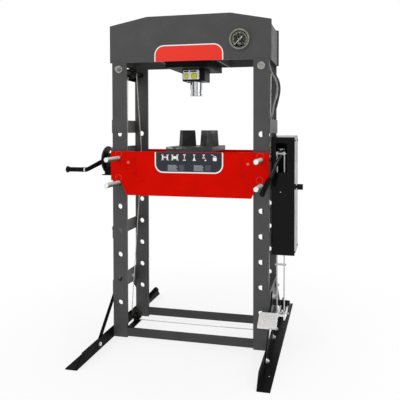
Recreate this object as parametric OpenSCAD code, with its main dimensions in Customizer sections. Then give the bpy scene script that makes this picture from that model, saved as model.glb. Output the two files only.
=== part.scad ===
// H-frame hydraulic workshop press with a hand and foot pump: a lever and a pedal work the same
// pump beam. The bed hangs on four pull-out pins and is raised by a crank winch and cable.
// Millimetres, +Z up, +X to the right of the person at the press, -Y towards that person.
// The origin is on the floor, midway between the columns and midway between front and rear.

/* [Frame] */
// Overall height of the press
press_h = 1850; // [1700:10:2220]
// Clear width between the two columns
clear_w = 742; // [640:2:890]
// Depth over the two head plates
frame_d = 324; // [270:2:390]
// Width of a column bar
column_w = 86; // [80:1:110]
// Thickness of a column bar
column_t = 16; // [12:1:20]
// Height of the columns' feet above the floor
column_lift = 4; // [2:1:8]
// Thickness of the side plates that join front and rear bars
side_plate_t = 6; // [4:1:8]
// Height of the two crossbars
crossbar_h = 50; // [40:1:60]
// Thickness of the two crossbars
crossbar_t = 8; // [6:1:12]
// Height of the crossbars' lower edges
crossbar_z = 12; // [8:1:40]

/* [Head] */
// Height of the head plates at the middle
head_h = 256; // [220:1:300]
// Height of the head plates at their ends
head_end_h = 212; // [180:1:215]
// Length of the head's level top edge
head_flat_w = 486; // [300:2:600]
// How far a head plate stands out beyond a column
head_overhang = 13; // [8:1:30]
// Thickness of a head plate
head_plate_t = 12; // [8:1:16]

/* [Feet and braces] */
// Length of a foot
foot_len = 1110; // [900:2:1200]
// Leg of a foot's angle section
foot_leg = 65; // [50:1:80]
// Thickness of a foot's angle section
foot_t = 6; // [5:1:8]
// Size of the slope cut on a foot's ends
foot_cut = 58; // [20:1:58]
// Width of a brace bar
brace_w = 30; // [24:1:36]
// Thickness of a brace bar
brace_t = 6; // [4:1:8]
// Half distance between the braces' upper bolts
brace_top_y = 92; // [70:1:100]
// Half distance between the braces' lower bolts
brace_low_y = 326; // [280:1:360]

/* [Pin holes and bed] */
// Number of pin holes in a bar
hole_n = 8; // [7:1:9]
// Distance between pin holes
hole_pitch = 140; // [120:1:150]
// Height of the lowest pin hole
hole_z = 206; // [190:1:240]
// Diameter of a pin hole
hole_d = 31; // [30:0.5:36]
// Diameter of a pin
pin_d = 28; // [23:0.5:29]
// Length of a pin in front of the bed
pin_proud = 143; // [80:1:200]
// Height of the bed plates
bed_h = 250; // [210:1:280]
// Thickness of a bed plate
bed_t = 16; // [12:1:20]
// Gap between a bed plate and the bars
bed_gap = 1; // [0.5:0.1:3]
// How far the bed plates reach beyond the columns
bed_overhang = 2; // [0:1:20]
// Height of the bed's top above the upper pin holes
bed_over_hole = 40; // [30:1:60]

/* [Cylinder] */
// Diameter of the ram
ram_d = 72; // [50:1:90]
// Stroke of the ram
ram_stroke = 150; // [100:5:180]
// Outer diameter of the cylinder
cylinder_d = 150; // [130:1:170]
// Bore of the cylinder
cylinder_bore = 100; // [95:1:115]
// Width of the guard block round the ram
guard_w = 135; // [120:1:150]
// Depth of the guard block
guard_d = 112; // [100:1:130]
// Height of the guard block
guard_h = 68; // [50:1:90]
// Width of the carriage plate that carries the cylinder
carriage_w = 248; // [180:1:280]
// Thickness of the carriage plate
carriage_t = 34; // [25:1:40]
// Distance of the carriage plate's middle from the press's middle
carriage_x = -8; // [-20:1:20]

/* [Tooling] */
// Width of the arbor plate
arbor_w = 268; // [220:1:320]
// Depth of the arbor plate
arbor_d = 350; // [330:1:358]
// Thickness of the arbor plate
arbor_t = 28; // [20:1:40]
// Length of a V-block along its groove
vblock_l = 88; // [60:1:100]
// Width of a V-block across its groove
vblock_w = 82; // [60:1:100]
// Height of a V-block
vblock_h = 93; // [60:1:120]
// Depth of a V-block's groove
vblock_v = 22; // [12:1:30]

/* [Pump and pedal] */
// Width of the pump cover
cover_w = 128; // [120:1:154]
// Depth of the pump cover
cover_d = 206; // [190:1:240]
// Height of the pump cover
cover_h = 650; // [600:1:700]
// Height of the pump cover's lower edge
cover_z = 518; // [480:1:560]
// Sheet thickness of the pump cover
cover_t = 2.5; // [1.5:0.5:4]
// Length of the pump beam from its pivot to the yoke pin
beam_r = 50; // [40:1:52]
// Diameter of the hand lever's tube
lever_d = 18; // [14:1:22]
// Diameter of the hand lever's grip
grip_d = 29; // [24:1:30]
// Diameter of the pull rods
rod_d = 8; // [6:0.5:10]
// Half distance between the two pull rods
rod_x = 20; // [18:1:22]
// Distance from the pedal's pivot to the pull rods
pedal_r = 99; // [85:1:110]
// Width of the pedal's tread
tread_w = 100; // [80:1:105]
// Length of the pedal's tread
tread_l = 88; // [70:1:100]

/* [Winch] */
// Radius of the winch's gear
gear_r = 82; // [60:1:90]
// Radius of the winding drum
drum_r = 28; // [20:1:32]
// Length of the crank arm
crank_r = 227; // [160:1:240]
// Length of the crank's grip
crank_grip_l = 108; // [80:1:120]
// Diameter of the crank's grip
crank_grip_d = 29; // [20:1:32]
// Radius of a pulley at the bottom of its groove
sheave_r = 26; // [20:1:30]
// Diameter of the lifting cable
cable_d = 5; // [3:0.5:6]

/* [Gauge] */
// Diameter of the gauge's bezel
gauge_d = 113; // [80:1:130]
// Distance of the gauge from the press's middle
gauge_x = 296; // [240:1:330]
// Height of the gauge's middle above the head's lower edge
gauge_h = 108; // [90:1:130]

/* [Hidden] */
$fn = 48;

// fits
touch = 0.3;      // gap at the seat of a loose or moving piece
run = 0.05;       // radial clearance of a turning or sliding fit
bolt_clear = 0.5; // radial clearance of a bolt in its hole

// colours
grey_paint = "#4a4a4b";
red_paint = "#dc1404";
black_paint = "#1c1c1d";
zinc = "#c9ccc9";
steel = "#8f9190";

// places of the main members
col_in = clear_w / 2;
col_out = col_in + column_w;
col_x = col_in + column_w / 2;
web_y = frame_d / 2;                       // outer face of a bar
bar_in = web_y - column_t;                 // inner face of a bar
head_in = web_y - head_plate_t;            // inner face of a head plate
head_w = 2 * (col_out + head_overhang);
head_z = press_h - head_h;
plate_out = col_out + side_plate_t;        // outer face of the side plates
low_i = 5;                                 // index of the hole that takes the lower pins
pin_low_hole = hole_z + low_i * hole_pitch;
pin_up_hole = pin_low_hole + hole_pitch;
pin_drop = (hole_d - pin_d) / 2 - touch;   // a pin lies on the lower side of its hole
pin_low_z = pin_low_hole - pin_drop;
pin_up_z = pin_up_hole - pin_drop;
bed_top = pin_up_hole + bed_over_hole;
bed_z = bed_top - bed_h;
bed_y = web_y + bed_gap + bed_t;           // outer face of a bed plate
bed_half = col_out + bed_overhang;
bed_step_z = pin_low_z + pin_d / 2 + touch;
bed_hole_z = pin_up_z + pin_d / 2 + touch - hole_d / 2;
bed_step_in = bed_overhang + column_w / 2 + pin_d / 2;
bed_foot_in = bed_step_in + 38;
foot_y = foot_len / 2;
gusset_z = [255, 332];
gusset_slope = 18;                         // how much lower the left gusset is at its rear
brace_top_z = 286;
brace_low_z = 33;
m12 = 12;
m20 = 20;
head_bolt_z = head_z - 37;
head_bolt_proud = 20;                      // bolt end in front of its nut
rope_r = sheave_r + cable_d / 2 + 0.45;  // radius of a cable's middle round a pulley
cable_in = col_x - rope_r;               // strands on the bed's side
cable_out = col_x + rope_r;              // strands on the outer side

// ---- general shapes ----

// hexagonal prism along +Z, given across the flats
module hex(af, h) cylinder(d = af / cos(30), h = h, $fn = 6);

// bolt with its head under z = 0 and its shank upwards, and a nut with its seat at z
module bolt(d, len, head = true) {
    if (head) translate([0, 0, -0.65 * d]) hex(1.6 * d, 0.65 * d);
    cylinder(d = d, h = len);
}

module nut(d, z) translate([0, 0, z]) difference() {
    hex(1.6 * d, 0.8 * d);
    translate([0, 0, -1]) cylinder(d = d + 0.06, h = d + 2);
}

// cylinder along +X, +Y, with its start at the given point
module rod_x(p, d, l) translate(p) rotate([0, 90, 0]) cylinder(d = d, h = l);
module rod_y(p, d, l) translate(p) rotate([-90, 0, 0]) cylinder(d = d, h = l);

// plate in the XZ plane, from y0 towards +Y
module plate_xz(y0, t) translate([0, y0 + t, 0]) rotate([90, 0, 0]) linear_extrude(t) children();

// plate in the YZ plane, from x0 towards +X; the profile's first axis is Y
module plate_yz(x0, t) translate([x0, 0, 0]) rotate([90, 0, 90]) linear_extrude(t) children();

module rounded(w, h, r) offset(r) square([w - 2 * r, h - 2 * r], center = true);

// ---- head ----

module head_outline() polygon([
    [-head_w / 2, head_z], [head_w / 2, head_z], [head_w / 2, head_z + head_end_h],
    [head_flat_w / 2, press_h], [-head_flat_w / 2, press_h], [-head_w / 2, head_z + head_end_h]]);

gauge_z = head_z + gauge_h;
gauge_body_d = gauge_d - 15;

module head_front_plate() color(grey_paint) difference() {
    plate_xz(-frame_d / 2, head_plate_t) head_outline();
    rod_y([gauge_x, -frame_d / 2 - 1, gauge_z], gauge_body_d + 1, head_plate_t + 2);
}

module head_rear_plate() color(grey_paint) plate_xz(head_in, head_plate_t) head_outline();

module head_end_plates() color(grey_paint) for (s = [-1, 1])
    translate([s > 0 ? col_out : -plate_out, -head_in, head_z])
        cube([side_plate_t, 2 * head_in, head_end_h - 14]);

stiffener_x = 165;
stiffener_t = 10;
hose_hole = 40;

module head_stiffeners() color(grey_paint) for (s = [-1, 1]) difference() {
    translate([s * stiffener_x - stiffener_t / 2, -head_in, head_z]) cube([stiffener_t, 2 * head_in, head_h - 26]);
    rod_x([s * stiffener_x - stiffener_t, 0, head_z + 150], hose_hole + 60, 2 * stiffener_t);
}

// ---- columns ----

// side: -1 is left; face: -1 is the front bar
module column(side, face) color(grey_paint) difference() {
    translate([side * col_x, face * (web_y - column_t / 2), column_lift])
        linear_extrude(head_z - column_lift) rounded(column_w, column_t, 1.5);
    for (i = [0:hole_n - 1])
        rod_y([side * col_x, face * (web_y - column_t / 2) - column_t, hole_z + i * hole_pitch], hole_d, 2 * column_t);
    rod_y([side * col_x, face * (web_y - column_t / 2) - column_t, head_bolt_z], m20 + 2 * bolt_clear, 2 * column_t);
}

module column_front_left() column(-1, -1);
module column_front_right() column(1, -1);
module column_rear_left() column(-1, 1);
module column_rear_right() column(1, 1);

// ---- plates between the bars ----

side_y = web_y - 4;
upper_plate = [1190, 1268];
mid_plate = [577, 650];
winch_plate = [936, 1110];
box_plate = [960, 1036];
pedal_z = 215;
lever_x = plate_out + 51;      // middle of the two pull rods
pivot_y = -52;
pivot_z = 1100;
beam_dip = 25;                 // the beam swings as far above the level as below it
yoke_y = pivot_y - beam_r * cos(beam_dip);
yoke_z = pivot_z - beam_r * sin(beam_dip);
rod_lift = 2 * beam_r * sin(beam_dip);
pedal_dip = asin(rod_lift / 2 / pedal_r);
pedal_y = yoke_y + pedal_r * cos(pedal_dip);
pedal_pin_z = pedal_z - pedal_r * sin(pedal_dip);

module side_plate(z, side) translate([side > 0 ? col_out : -plate_out, -side_y, z[0]])
    cube([side_plate_t, 2 * side_y, z[1] - z[0]]);

module brace_holes(side) for (s = [-1, 1])
    rod_x([side * col_out - 2 * side_plate_t, s * brace_top_y, brace_top_z], m12 + 2 * bolt_clear, 4 * side_plate_t);

module side_plates_left() color(grey_paint) {
    side_plate(upper_plate, -1);
    difference() {
        side_plate(winch_plate, -1);
        rod_x([-plate_out - 1, winch_y, winch_z], winch_shaft_d + 4, side_plate_t + 2);
    }
    side_plate(mid_plate, -1);
    difference() {
        plate_yz(-plate_out, side_plate_t) polygon([
            [-side_y, gusset_z[0]], [side_y, gusset_z[0] - gusset_slope], [side_y, gusset_z[1]], [-side_y, gusset_z[1]]]);
        brace_holes(-1);
        rod_x([-plate_out - 1, bar_in - m12, gusset_z[0] - 4], m12 + 2 * bolt_clear, side_plate_t + 2);
    }
}

module side_plates_right() color(grey_paint) {
    side_plate(upper_plate, 1);
    side_plate(box_plate, 1);
    side_plate(mid_plate, 1);
    difference() {
        side_plate([pedal_z - 32, gusset_z[1]], 1);
        brace_holes(1);
        rod_x([col_out - 1, pedal_y, pedal_z], pedal_shaft_d - 4 + 2 * bolt_clear, side_plate_t + 2);
    }
}

module crossbars() color(grey_paint) for (y = [-web_y, web_y - crossbar_t])
    translate([-col_in, y, crossbar_z]) cube([2 * col_in, crossbar_t, crossbar_h]);

// ---- feet, braces and their bolts ----

anchor_y = [-416, 130, 416];
anchor_d = 13;
foot_bolt_y = [-29, 84];
foot_bolt_z = 24;
pad_t = 6;                      // pad behind the two bolts of a foot
pad_y = [-60, 118];
pad_z = [8, 56];

module foot(side) color(black_paint) mirror([side < 0 ? 1 : 0, 0, 0]) difference() {
    union() {
        plate_yz(col_out, foot_t) polygon([
            [-foot_y, 0], [foot_y, 0], [foot_y, foot_leg - foot_cut], [foot_y - foot_cut, foot_leg],
            [-foot_y + foot_cut, foot_leg], [-foot_y, foot_leg - foot_cut]]);
        translate([col_out, -foot_y, 0]) cube([foot_leg, foot_len, foot_t]);
        translate([col_out - pad_t, pad_y[0], pad_z[0]]) cube([pad_t + 1, pad_y[1] - pad_y[0], pad_z[1] - pad_z[0]]);
    }
    for (y = anchor_y) translate([col_out + foot_leg * 0.62, y, -1]) cylinder(d = anchor_d, h = foot_t + 2);
    for (y = foot_bolt_y) rod_x([col_out - pad_t - 1, y, foot_bolt_z], m12 + 2 * bolt_clear, pad_t + foot_t + 2);
    for (s = [-1, 1]) rod_x([col_out - 1, s * brace_low_y, brace_low_z], m12 + 2 * bolt_clear, foot_t + 2);
}

module foot_left() foot(-1);
module foot_right() foot(1);

brace_dy = brace_low_y - brace_top_y;
brace_dz = brace_top_z - brace_low_z;
brace_len = sqrt(brace_dy * brace_dy + brace_dz * brace_dz);
brace_angle = atan2(brace_dz, brace_dy);
brace_end = 16;

module brace() difference() {
    linear_extrude(brace_t) translate([-brace_end, -brace_w / 2]) square([brace_len + 2 * brace_end, brace_w]);
    for (x = [0, brace_len]) translate([x, 0, -1]) cylinder(d = m12 + 2 * bolt_clear, h = brace_t + 2);
}

module braces() color(black_paint) for (side = [-1, 1], s = [-1, 1])
    translate([side > 0 ? plate_out : -plate_out - brace_t, 0, 0]) mirror([0, s < 0 ? 1 : 0, 0])
        translate([0, brace_top_y, brace_top_z]) rotate([90, 0, 90]) rotate(-brace_angle) brace();

// bolts along X through the side plates and feet; the nut is on the outside
module cross_bolt(side, y, z, inner, outer) translate([side * inner, y, z]) rotate([0, side * 90, 0]) {
    bolt(m12, outer - inner + 0.8 * m12 + 6);
    nut(m12, outer - inner);
}

module frame_bolts() color(zinc) for (side = [-1, 1]) {
    for (s = [-1, 1]) {
        cross_bolt(side, s * brace_top_y, brace_top_z, col_out, plate_out + brace_t);
        cross_bolt(side, s * brace_low_y, brace_low_z, col_out, plate_out + brace_t);
    }
    for (y = foot_bolt_y) cross_bolt(side, y, foot_bolt_z, col_out - pad_t, col_out + foot_t);
}

// long bolts that clamp the front and rear bars under the head; the left one is fitted from the rear
module head_bolts() color(zinc) for (side = [-1, 1])
    translate([side * col_x, -side * web_y, head_bolt_z]) rotate([-side * 90, 0, 0]) {
        bolt(m20, 2 * web_y + 0.8 * m20 + head_bolt_proud);
        nut(m20, 2 * web_y);
    }

// ---- cylinder and ram ----

carriage_z = head_z - carriage_t;
guard_z = carriage_z - guard_h;
chamber_h = ram_stroke + 46;
piston_h = 36;
cap_h = 16;
ram_z = guard_z - 46;       // lower end of the plain ram
nose_z = ram_z - 38;        // lower end of the nose
nose_d = ram_d - 6;
spigot_d = 40;
spigot_h = 24;

module carriage_plate() color(black_paint) difference() {
    translate([carriage_x - carriage_w / 2, -frame_d / 2, carriage_z]) cube([carriage_w, frame_d, carriage_t]);
    translate([0, 0, carriage_z - 1]) cylinder(d = ram_d + 3, h = carriage_t + 2);
}

module guard() color(black_paint) difference() {
    translate([-guard_w / 2, -guard_d / 2, guard_z]) cube([guard_w, guard_d, guard_h]);
    translate([0, 0, guard_z - 1]) cylinder(d = ram_d + 2 * run, h = guard_h + 2);
    translate([0, 0, guard_z - 1]) cylinder(d = ram_d + 12, h = 5);
}

module cylinder_body() difference() {
    cylinder(d = cylinder_d, h = chamber_h + cap_h);
    translate([0, 0, -1]) cylinder(d = cylinder_bore, h = chamber_h + 1);
}

port_x = cylinder_d / 2;
port_z = head_z + 150;

module cylinder_node() color(black_paint) {
    translate([0, 0, head_z]) cylinder_body();
    rod_x([port_x - 6, 0, port_z], 26, 20);
}

module ram() color("#d5d7d8") difference() {
    union() {
        translate([0, 0, ram_z]) cylinder(d = ram_d, h = head_z + chamber_h - 6 - piston_h - ram_z);
        translate([0, 0, head_z + chamber_h - 6 - piston_h]) cylinder(d = cylinder_bore - 2 * run, h = piston_h);
    }
    translate([0, 0, ram_z - 1]) cylinder(d = spigot_d + 0.1, h = spigot_h + 2);
}

module ram_nose() color("#c5c7c8") rotate_extrude($fn = 64) polygon([
    [0, nose_z], [nose_d / 2 + 1, nose_z], [nose_d / 2 + 2, nose_z + 1], [nose_d / 2 + 2, nose_z + 15],
    [nose_d / 2 - 2, nose_z + 16], [nose_d / 2 - 2, nose_z + 20], [nose_d / 2, nose_z + 21],
    [nose_d / 2, ram_z], [spigot_d / 2, ram_z], [spigot_d / 2, ram_z + spigot_h], [0, ram_z + spigot_h]]);

// ---- pressure gauge ----

gauge_face = -frame_d / 2;
bezel_h = 14;
bezel_w = 18;
dial_y = gauge_face - 3;
gauge_pin_d = 4;

module gauge_ring(y0, y1, d0, d1) difference() {
    rod_y([gauge_x, y0, gauge_z], d1, y1 - y0);
    rod_y([gauge_x, y0 - 1, gauge_z], d0, y1 - y0 + 2);
}

module gauge_case() color("#c3c6c6") union() {
    gauge_ring(gauge_face - bezel_h, gauge_face, gauge_d - bezel_w, gauge_d);
    gauge_ring(gauge_face, gauge_face + 34, gauge_body_d - 6, gauge_body_d);
    rod_y([gauge_x, gauge_face + 30, gauge_z], gauge_body_d, 4);
    rod_y([gauge_x, gauge_face + 34, gauge_z], 20, 16);
}

module gauge_dial() color("#15171a") {
    rod_y([gauge_x, dial_y, gauge_z], gauge_d - bezel_w - 2 * run, 3);
    rod_y([gauge_x, dial_y - 5, gauge_z], gauge_pin_d, 6);
}

needle_y = dial_y - 3.5;
needle_r = 36;

module gauge_needle() color("white") difference() {
    union() {
        rod_y([gauge_x, needle_y, gauge_z], 12, 2.4);
        translate([gauge_x, 0, gauge_z]) rotate([0, 45, 0]) plate_xz(needle_y + 0.4, 1.2) polygon([
            [-2.2, 14], [2.2, 14], [2.2, 0], [0.8, -needle_r], [-0.8, -needle_r], [-2.2, 0]]);
    }
    rod_y([gauge_x, needle_y - 1, gauge_z], gauge_pin_d + 2 * run, 5);
}

module gauge_glass() color("#dfe8ec", 0.3)
    rod_y([gauge_x, gauge_face - bezel_h + 2.5, gauge_z], gauge_d - bezel_w - 2 * run, 2);

// ---- bed ----

module bed_outline() polygon([
    [-bed_half, bed_top], [-bed_half, bed_step_z], [-bed_half + bed_step_in, bed_step_z],
    [-bed_half + bed_foot_in, bed_z], [bed_half - bed_foot_in, bed_z], [bed_half - bed_step_in, bed_step_z],
    [bed_half, bed_step_z], [bed_half, bed_top]]);

bed_tube_x = 312;
bed_tube_z = [bed_top - 40, bed_top - 128];
bed_tube_d = 38;
bed_web_x = 352;
bed_web_t = 10;
bed_web_z = [bed_z + 16, bed_top - 12];
screw_z = bed_top - 64;

module bed_plate(y0) difference() {
    plate_xz(y0, bed_t) bed_outline();
    for (s = [-1, 1]) {
        rod_y([s * col_x, y0 - 1, bed_hole_z], hole_d, bed_t + 2);
        for (z = bed_tube_z) rod_y([s * bed_tube_x, y0 - 1, z], m12 + 2 * bolt_clear, bed_t + 2);
    }
}

module bed_front_plate() color(red_paint) bed_plate(-bed_y);
module bed_rear_plate() color(red_paint) bed_plate(bed_y - bed_t);

// tubes and end webs that keep the two plates apart
module bed_spacers() color(red_paint) for (s = [-1, 1]) {
    for (z = bed_tube_z) difference() {
        rod_y([s * bed_tube_x, -bed_y + bed_t, z], bed_tube_d, 2 * (bed_y - bed_t));
        rod_y([s * bed_tube_x, -bed_y, z], m12 + 2 * bolt_clear, 2 * bed_y);
    }
    translate([s * bed_web_x - bed_web_t / 2, -bed_y + bed_t, bed_web_z[0]])
        cube([bed_web_t, 2 * (bed_y - bed_t), bed_web_z[1] - bed_web_z[0]]);
}

// flush socket screws through the tubes, with a nut behind
module bed_screws() color("#7c1a12") for (s = [-1, 1], z = bed_tube_z)
    translate([s * bed_tube_x, -bed_y - 4, z]) rotate([-90, 0, 0]) {
        difference() {
            cylinder(d = 18, h = 4);
            translate([0, 0, -1]) cylinder(d = 9, h = 4, $fn = 6);
        }
        translate([0, 0, 3.9]) cylinder(d = m12, h = 2 * bed_y + 16);
        nut(m12, 2 * bed_y + 4);
    }

lug_z = bed_top - 30;
lug_t = 14;
lug_h = 30;

// blocks on the bed's end webs that the cables are clamped in, each with a clamping screw
module cable_lugs() color(black_paint) for (side = [-1, 1]) {
    difference() {
        translate([side > 0 ? bed_web_x + bed_web_t / 2 : -cable_in - 8, lift_y - lug_t / 2, lug_z - lug_h / 2])
            cube([cable_in + 8 - bed_web_x - bed_web_t / 2, lug_t, lug_h]);
        translate([side * cable_in, lift_y, lug_z - lug_h]) cylinder(d = cable_d + 2 * touch, h = 2 * lug_h);
    }
    translate([side * (cable_in - 14), lift_y - lug_t / 2, lug_z]) rotate([90, 0, 0]) hex(10, 5);
}

// ---- pins ----

pin_y = -bed_y - pin_proud;
pin_len = pin_proud + 2 * bed_y + 12;

module pin(side, z) color(zinc) translate([side * col_x, pin_y, z]) rotate([-90, 0, 0])
    rotate_extrude($fn = 48) polygon([
        [0, 0], [pin_d / 2 - 2, 0], [pin_d / 2, 2], [pin_d / 2, pin_len - 4], [pin_d / 2 - 4, pin_len], [0, pin_len]]);

module pin_upper_left() pin(-1, pin_up_z);
module pin_upper_right() pin(1, pin_up_z);
module pin_lower_left() pin(-1, pin_low_z);
module pin_lower_right() pin(1, pin_low_z);

// ---- arbor plate and V-blocks ----

arbor_x = 4;
arbor_y = -1;
arbor_turn = 1.5;
notch_w = 46;
notch_l = 70;

module arbor_plate() color("#2a2b2c") translate([arbor_x, arbor_y, bed_top]) rotate(arbor_turn)
    linear_extrude(arbor_t) difference() {
        rounded(arbor_w, arbor_d, 5);
        translate([-notch_w / 2, arbor_d / 2 - notch_l]) square([notch_w, notch_l + 1]);
        translate([0, arbor_d / 2 - notch_l]) circle(d = notch_w);
    }

module v_block() difference() {
    hull() {
        linear_extrude(1) rounded(vblock_l, vblock_w, 3);
        translate([0, 0, vblock_h - 1]) linear_extrude(1) rounded(vblock_l - 10, vblock_w - 10, 3);
    }
    translate([-vblock_l, 0, vblock_h]) rotate([45, 0, 0])
        translate([0, -vblock_v * sqrt(0.5), -vblock_v * sqrt(0.5)])
            cube([2 * vblock_l, vblock_v * sqrt(2), vblock_v * sqrt(2)]);
}

module v_block_left() color("#262728") translate([-80, 77, bed_top + arbor_t]) rotate(33) v_block();
module v_block_right() color("#262728") translate([62, 63, bed_top + arbor_t]) rotate(-45) v_block();

// ---- winch ----

winch_y = -32;
winch_z = 1028;
winch_drop = gear_r + 3;       // from the shaft down to the winch's base
winch_shaft_d = 16;
winch_base_t = 5;
cheek_x = plate_out + 76;      // inner face of the outer cheek
cheek_t = 5;
gear_x = cheek_x + cheek_t + 5;
gear_t = 8;
crank_x = gear_x + gear_t + 6;
crank_t = 8;
crank_dip = 11;                // slope of the crank arm, degrees
drum_x = cable_out;             // middle of the drum, in line with the cable
drum_w = 11;
collar_l = 9;                   // collar between the crank arm and its grip

module winch_cheek() difference() {
    hull() {
        translate([winch_y, winch_z]) circle(r = 40);
        translate([winch_y - 62, winch_z - winch_drop]) square([130, 10]);
    }
    translate([winch_y, winch_z]) circle(d = winch_shaft_d + 2 * run);
}

module winch_frame() color(black_paint) {
    plate_yz(-plate_out - winch_base_t, winch_base_t) winch_cheek();
    plate_yz(-cheek_x - cheek_t, cheek_t) winch_cheek();
    translate([-gear_x - gear_t - 6, winch_y - 62, winch_z - winch_drop - winch_base_t])
        cube([gear_x + gear_t + 6 - plate_out, 130, winch_base_t]);
    for (y = [winch_y - 50, winch_y + 50]) rod_x([-cheek_x - 1, y, winch_z - 58], 12, cheek_x - plate_out - winch_base_t + 2);
}

module winch_drum() color("#2c2d2e") {
    rod_x([-crank_x - crank_t - 4, winch_y, winch_z], winch_shaft_d, crank_x + crank_t + 4 - drum_x + drum_w / 2 + 3);
    for (s = [-1, 1]) rod_x([-drum_x + s * (drum_w / 2 + 1.5) - 1.5, winch_y, winch_z], 2 * drum_r + 26, 3);
    rod_x([-drum_x - drum_w / 2 - 1, winch_y, winch_z], 2 * drum_r, drum_w + 2);
    difference() {
        union() {
            rod_x([-gear_x - gear_t, winch_y, winch_z], 2 * gear_r - 5, gear_t);
            rod_x([-gear_x - gear_t - 1, winch_y, winch_z], gear_hub_d, gear_t + 4);
            plate_yz(-gear_x - gear_t, gear_t) translate([winch_y, winch_z]) for (i = [0:gear_n - 1])
                rotate(i * 360 / gear_n) polygon([[gear_r - 4, -2.6], [gear_r, -1.2], [gear_r, 1.2], [gear_r - 4, 2.6]]);
        }
        for (i = [0:3]) translate([-gear_x - gear_t - 1, winch_y, winch_z]) rotate([45 + i * 90, 0, 0])
            translate([0, 0, window_r]) rotate([0, 90, 0]) cylinder(d = window_d, h = gear_t + 2);
    }
}

gear_n = 40;
gear_hub_d = 36;
window_r = gear_r * 0.54;      // four round windows in the gear
window_d = gear_r * 0.6;

crank_tip = [winch_y - crank_r * cos(crank_dip), winch_z - crank_r * sin(crank_dip)];
spindle_d = 12;

module winch_crank() color(black_paint) {
    difference() {
        plate_yz(-crank_x - crank_t, crank_t) hull() {
            translate([winch_y, winch_z]) circle(r = 15);
            translate(crank_tip) circle(r = 11);
        }
        rod_x([-crank_x - crank_t - 1, winch_y, winch_z], winch_shaft_d + 0.02, crank_t + 2);
    }
    translate([-crank_x - crank_t, crank_tip[0], crank_tip[1]]) rotate([0, -90, 0]) {
        cylinder(d = crank_grip_d - 5, h = collar_l);
        cylinder(d = spindle_d, h = collar_l + crank_grip_l + 6);
        translate([0, 0, collar_l + crank_grip_l + 2]) cylinder(d = spindle_d + 6, h = 5);
    }
}

module crank_grip() color("#151516") translate([-crank_x - crank_t - collar_l - 1, crank_tip[0], crank_tip[1]])
    rotate([0, -90, 0]) rotate_extrude() polygon([
        [spindle_d / 2 + run, 0], [crank_grip_d / 2 - 1, 0], [crank_grip_d / 2, 2], [crank_grip_d / 2 - 1.5, 20],
        [crank_grip_d / 2 - 1.5, crank_grip_l - 14], [crank_grip_d / 2 + 4, crank_grip_l - 5],
        [crank_grip_d / 2 + 4, crank_grip_l - 1], [crank_grip_d / 2 + 3, crank_grip_l], [spindle_d / 2 + run, crank_grip_l]]);

// ---- pulleys and cables ----

top_z = head_bolt_z;                   // the upper pulleys turn on the head bolts
top_y = 14;
low_z = 104;
low_y = -66;
lift_y = 78;
low_left_x = -(cable_in - rope_r);
low_right_x = col_x;
sheave_w = 12;
axle_d = 12;
sheave_gap = 0.5;

module sheave(x, y, z, axle) color("#1a1a1b") translate([x, y + sheave_w / 2, z]) rotate([90, 0, 0]) difference() {
    rotate_extrude() polygon([
        [axle / 2 + run, 0], [sheave_r + 7, 0], [sheave_r + 7, 1.5], [sheave_r, 3.8], [sheave_r, sheave_w - 3.8],
        [sheave_r + 7, sheave_w - 1.5], [sheave_r + 7, sheave_w], [axle / 2 + run, sheave_w]]);
    for (i = [0:3]) rotate(i * 90) translate([18, 0, -1]) cylinder(d = 7, h = sheave_w + 2);
}

module pulley_top_left() sheave(-col_x, top_y, top_z, m20);
module pulley_top_right() sheave(col_x, top_y, top_z, m20);
module pulley_low_left() sheave(low_left_x, low_y, low_z, axle_d);
module pulley_low_right() sheave(low_right_x, low_y, low_z, axle_d);

cheek_gap = 1;
fork_t = 5;
spacer_d = 30;
top_plate_x = col_x + sheave_r + 8;    // inner face of the plate beside the upper left pulley
top_plate_z = [head_z - 80, head_z - 22];

// fork on a base at base_z, with a pulley's axle across it
module fork(x, y, z, base_z) {
    for (s = [-1, 1]) plate_xz(y - fork_t / 2 + s * (sheave_w / 2 + cheek_gap + fork_t / 2), fork_t) hull() {
        translate([x, z]) circle(r = 14);
        translate([x - 15, base_z]) square([30, 1]);
    }
    rod_y([x, y - sheave_w / 2 - cheek_gap - fork_t - 4, z], axle_d, sheave_w + 2 * (cheek_gap + fork_t) + 8);
}

// tube on a head bolt between a column's bar and the pulley
module spacer(x, y0, y1) difference() {
    rod_y([x, y0, top_z], spacer_d, y1 - y0);
    rod_y([x, y0 - 1, top_z], m20 + 2 * run, y1 - y0 + 2);
}

module pulley_brackets() color(black_paint) {
    for (side = [-1, 1]) {
        spacer(side * col_x, -bar_in, top_y - sheave_w / 2 - sheave_gap);
        spacer(side * col_x, top_y + sheave_w / 2 + sheave_gap, bar_in);
    }
    translate([-top_plate_x - side_plate_t, -bar_in, top_plate_z[0]])
        cube([side_plate_t, 2 * bar_in, top_plate_z[1] - top_plate_z[0]]);
    fork(low_left_x, low_y, low_z, crossbar_z + crossbar_h);
    translate([-col_in + 1, -web_y, crossbar_z + crossbar_h]) cube([low_left_x + col_in + 23, web_y + low_y + 16, 6]);
    fork(low_right_x, low_y, low_z, low_z - 52);
    translate([low_right_x - 20, -bar_in, low_z - 58]) cube([40, 2 * bar_in, 7]);
}

function arc(c, r, a0, a1, n) = [for (i = [0:n]) let (a = a0 + (a1 - a0) * i / n) [c[0] + r * cos(a), c[1] + r * sin(a)]];

// sweep of a round cord along a list of points: rings lie square to the bisector of their neighbours
function unit(v) = v / norm(v);
function tangent(p, i) = unit(p[min(i + 1, len(p) - 1)] - p[max(i - 1, 0)]);
function side_of(t) = unit(cross(t, abs(t[1]) < 0.9 ? [0, 1, 0] : [1, 0, 0]));
function ring(p, i, r, n) = let (t = tangent(p, i), s = side_of(t), u = cross(s, t))
    [for (k = [0:n - 1]) p[i] + r * (cos(360 * k / n) * s + sin(360 * k / n) * u)];

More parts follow.
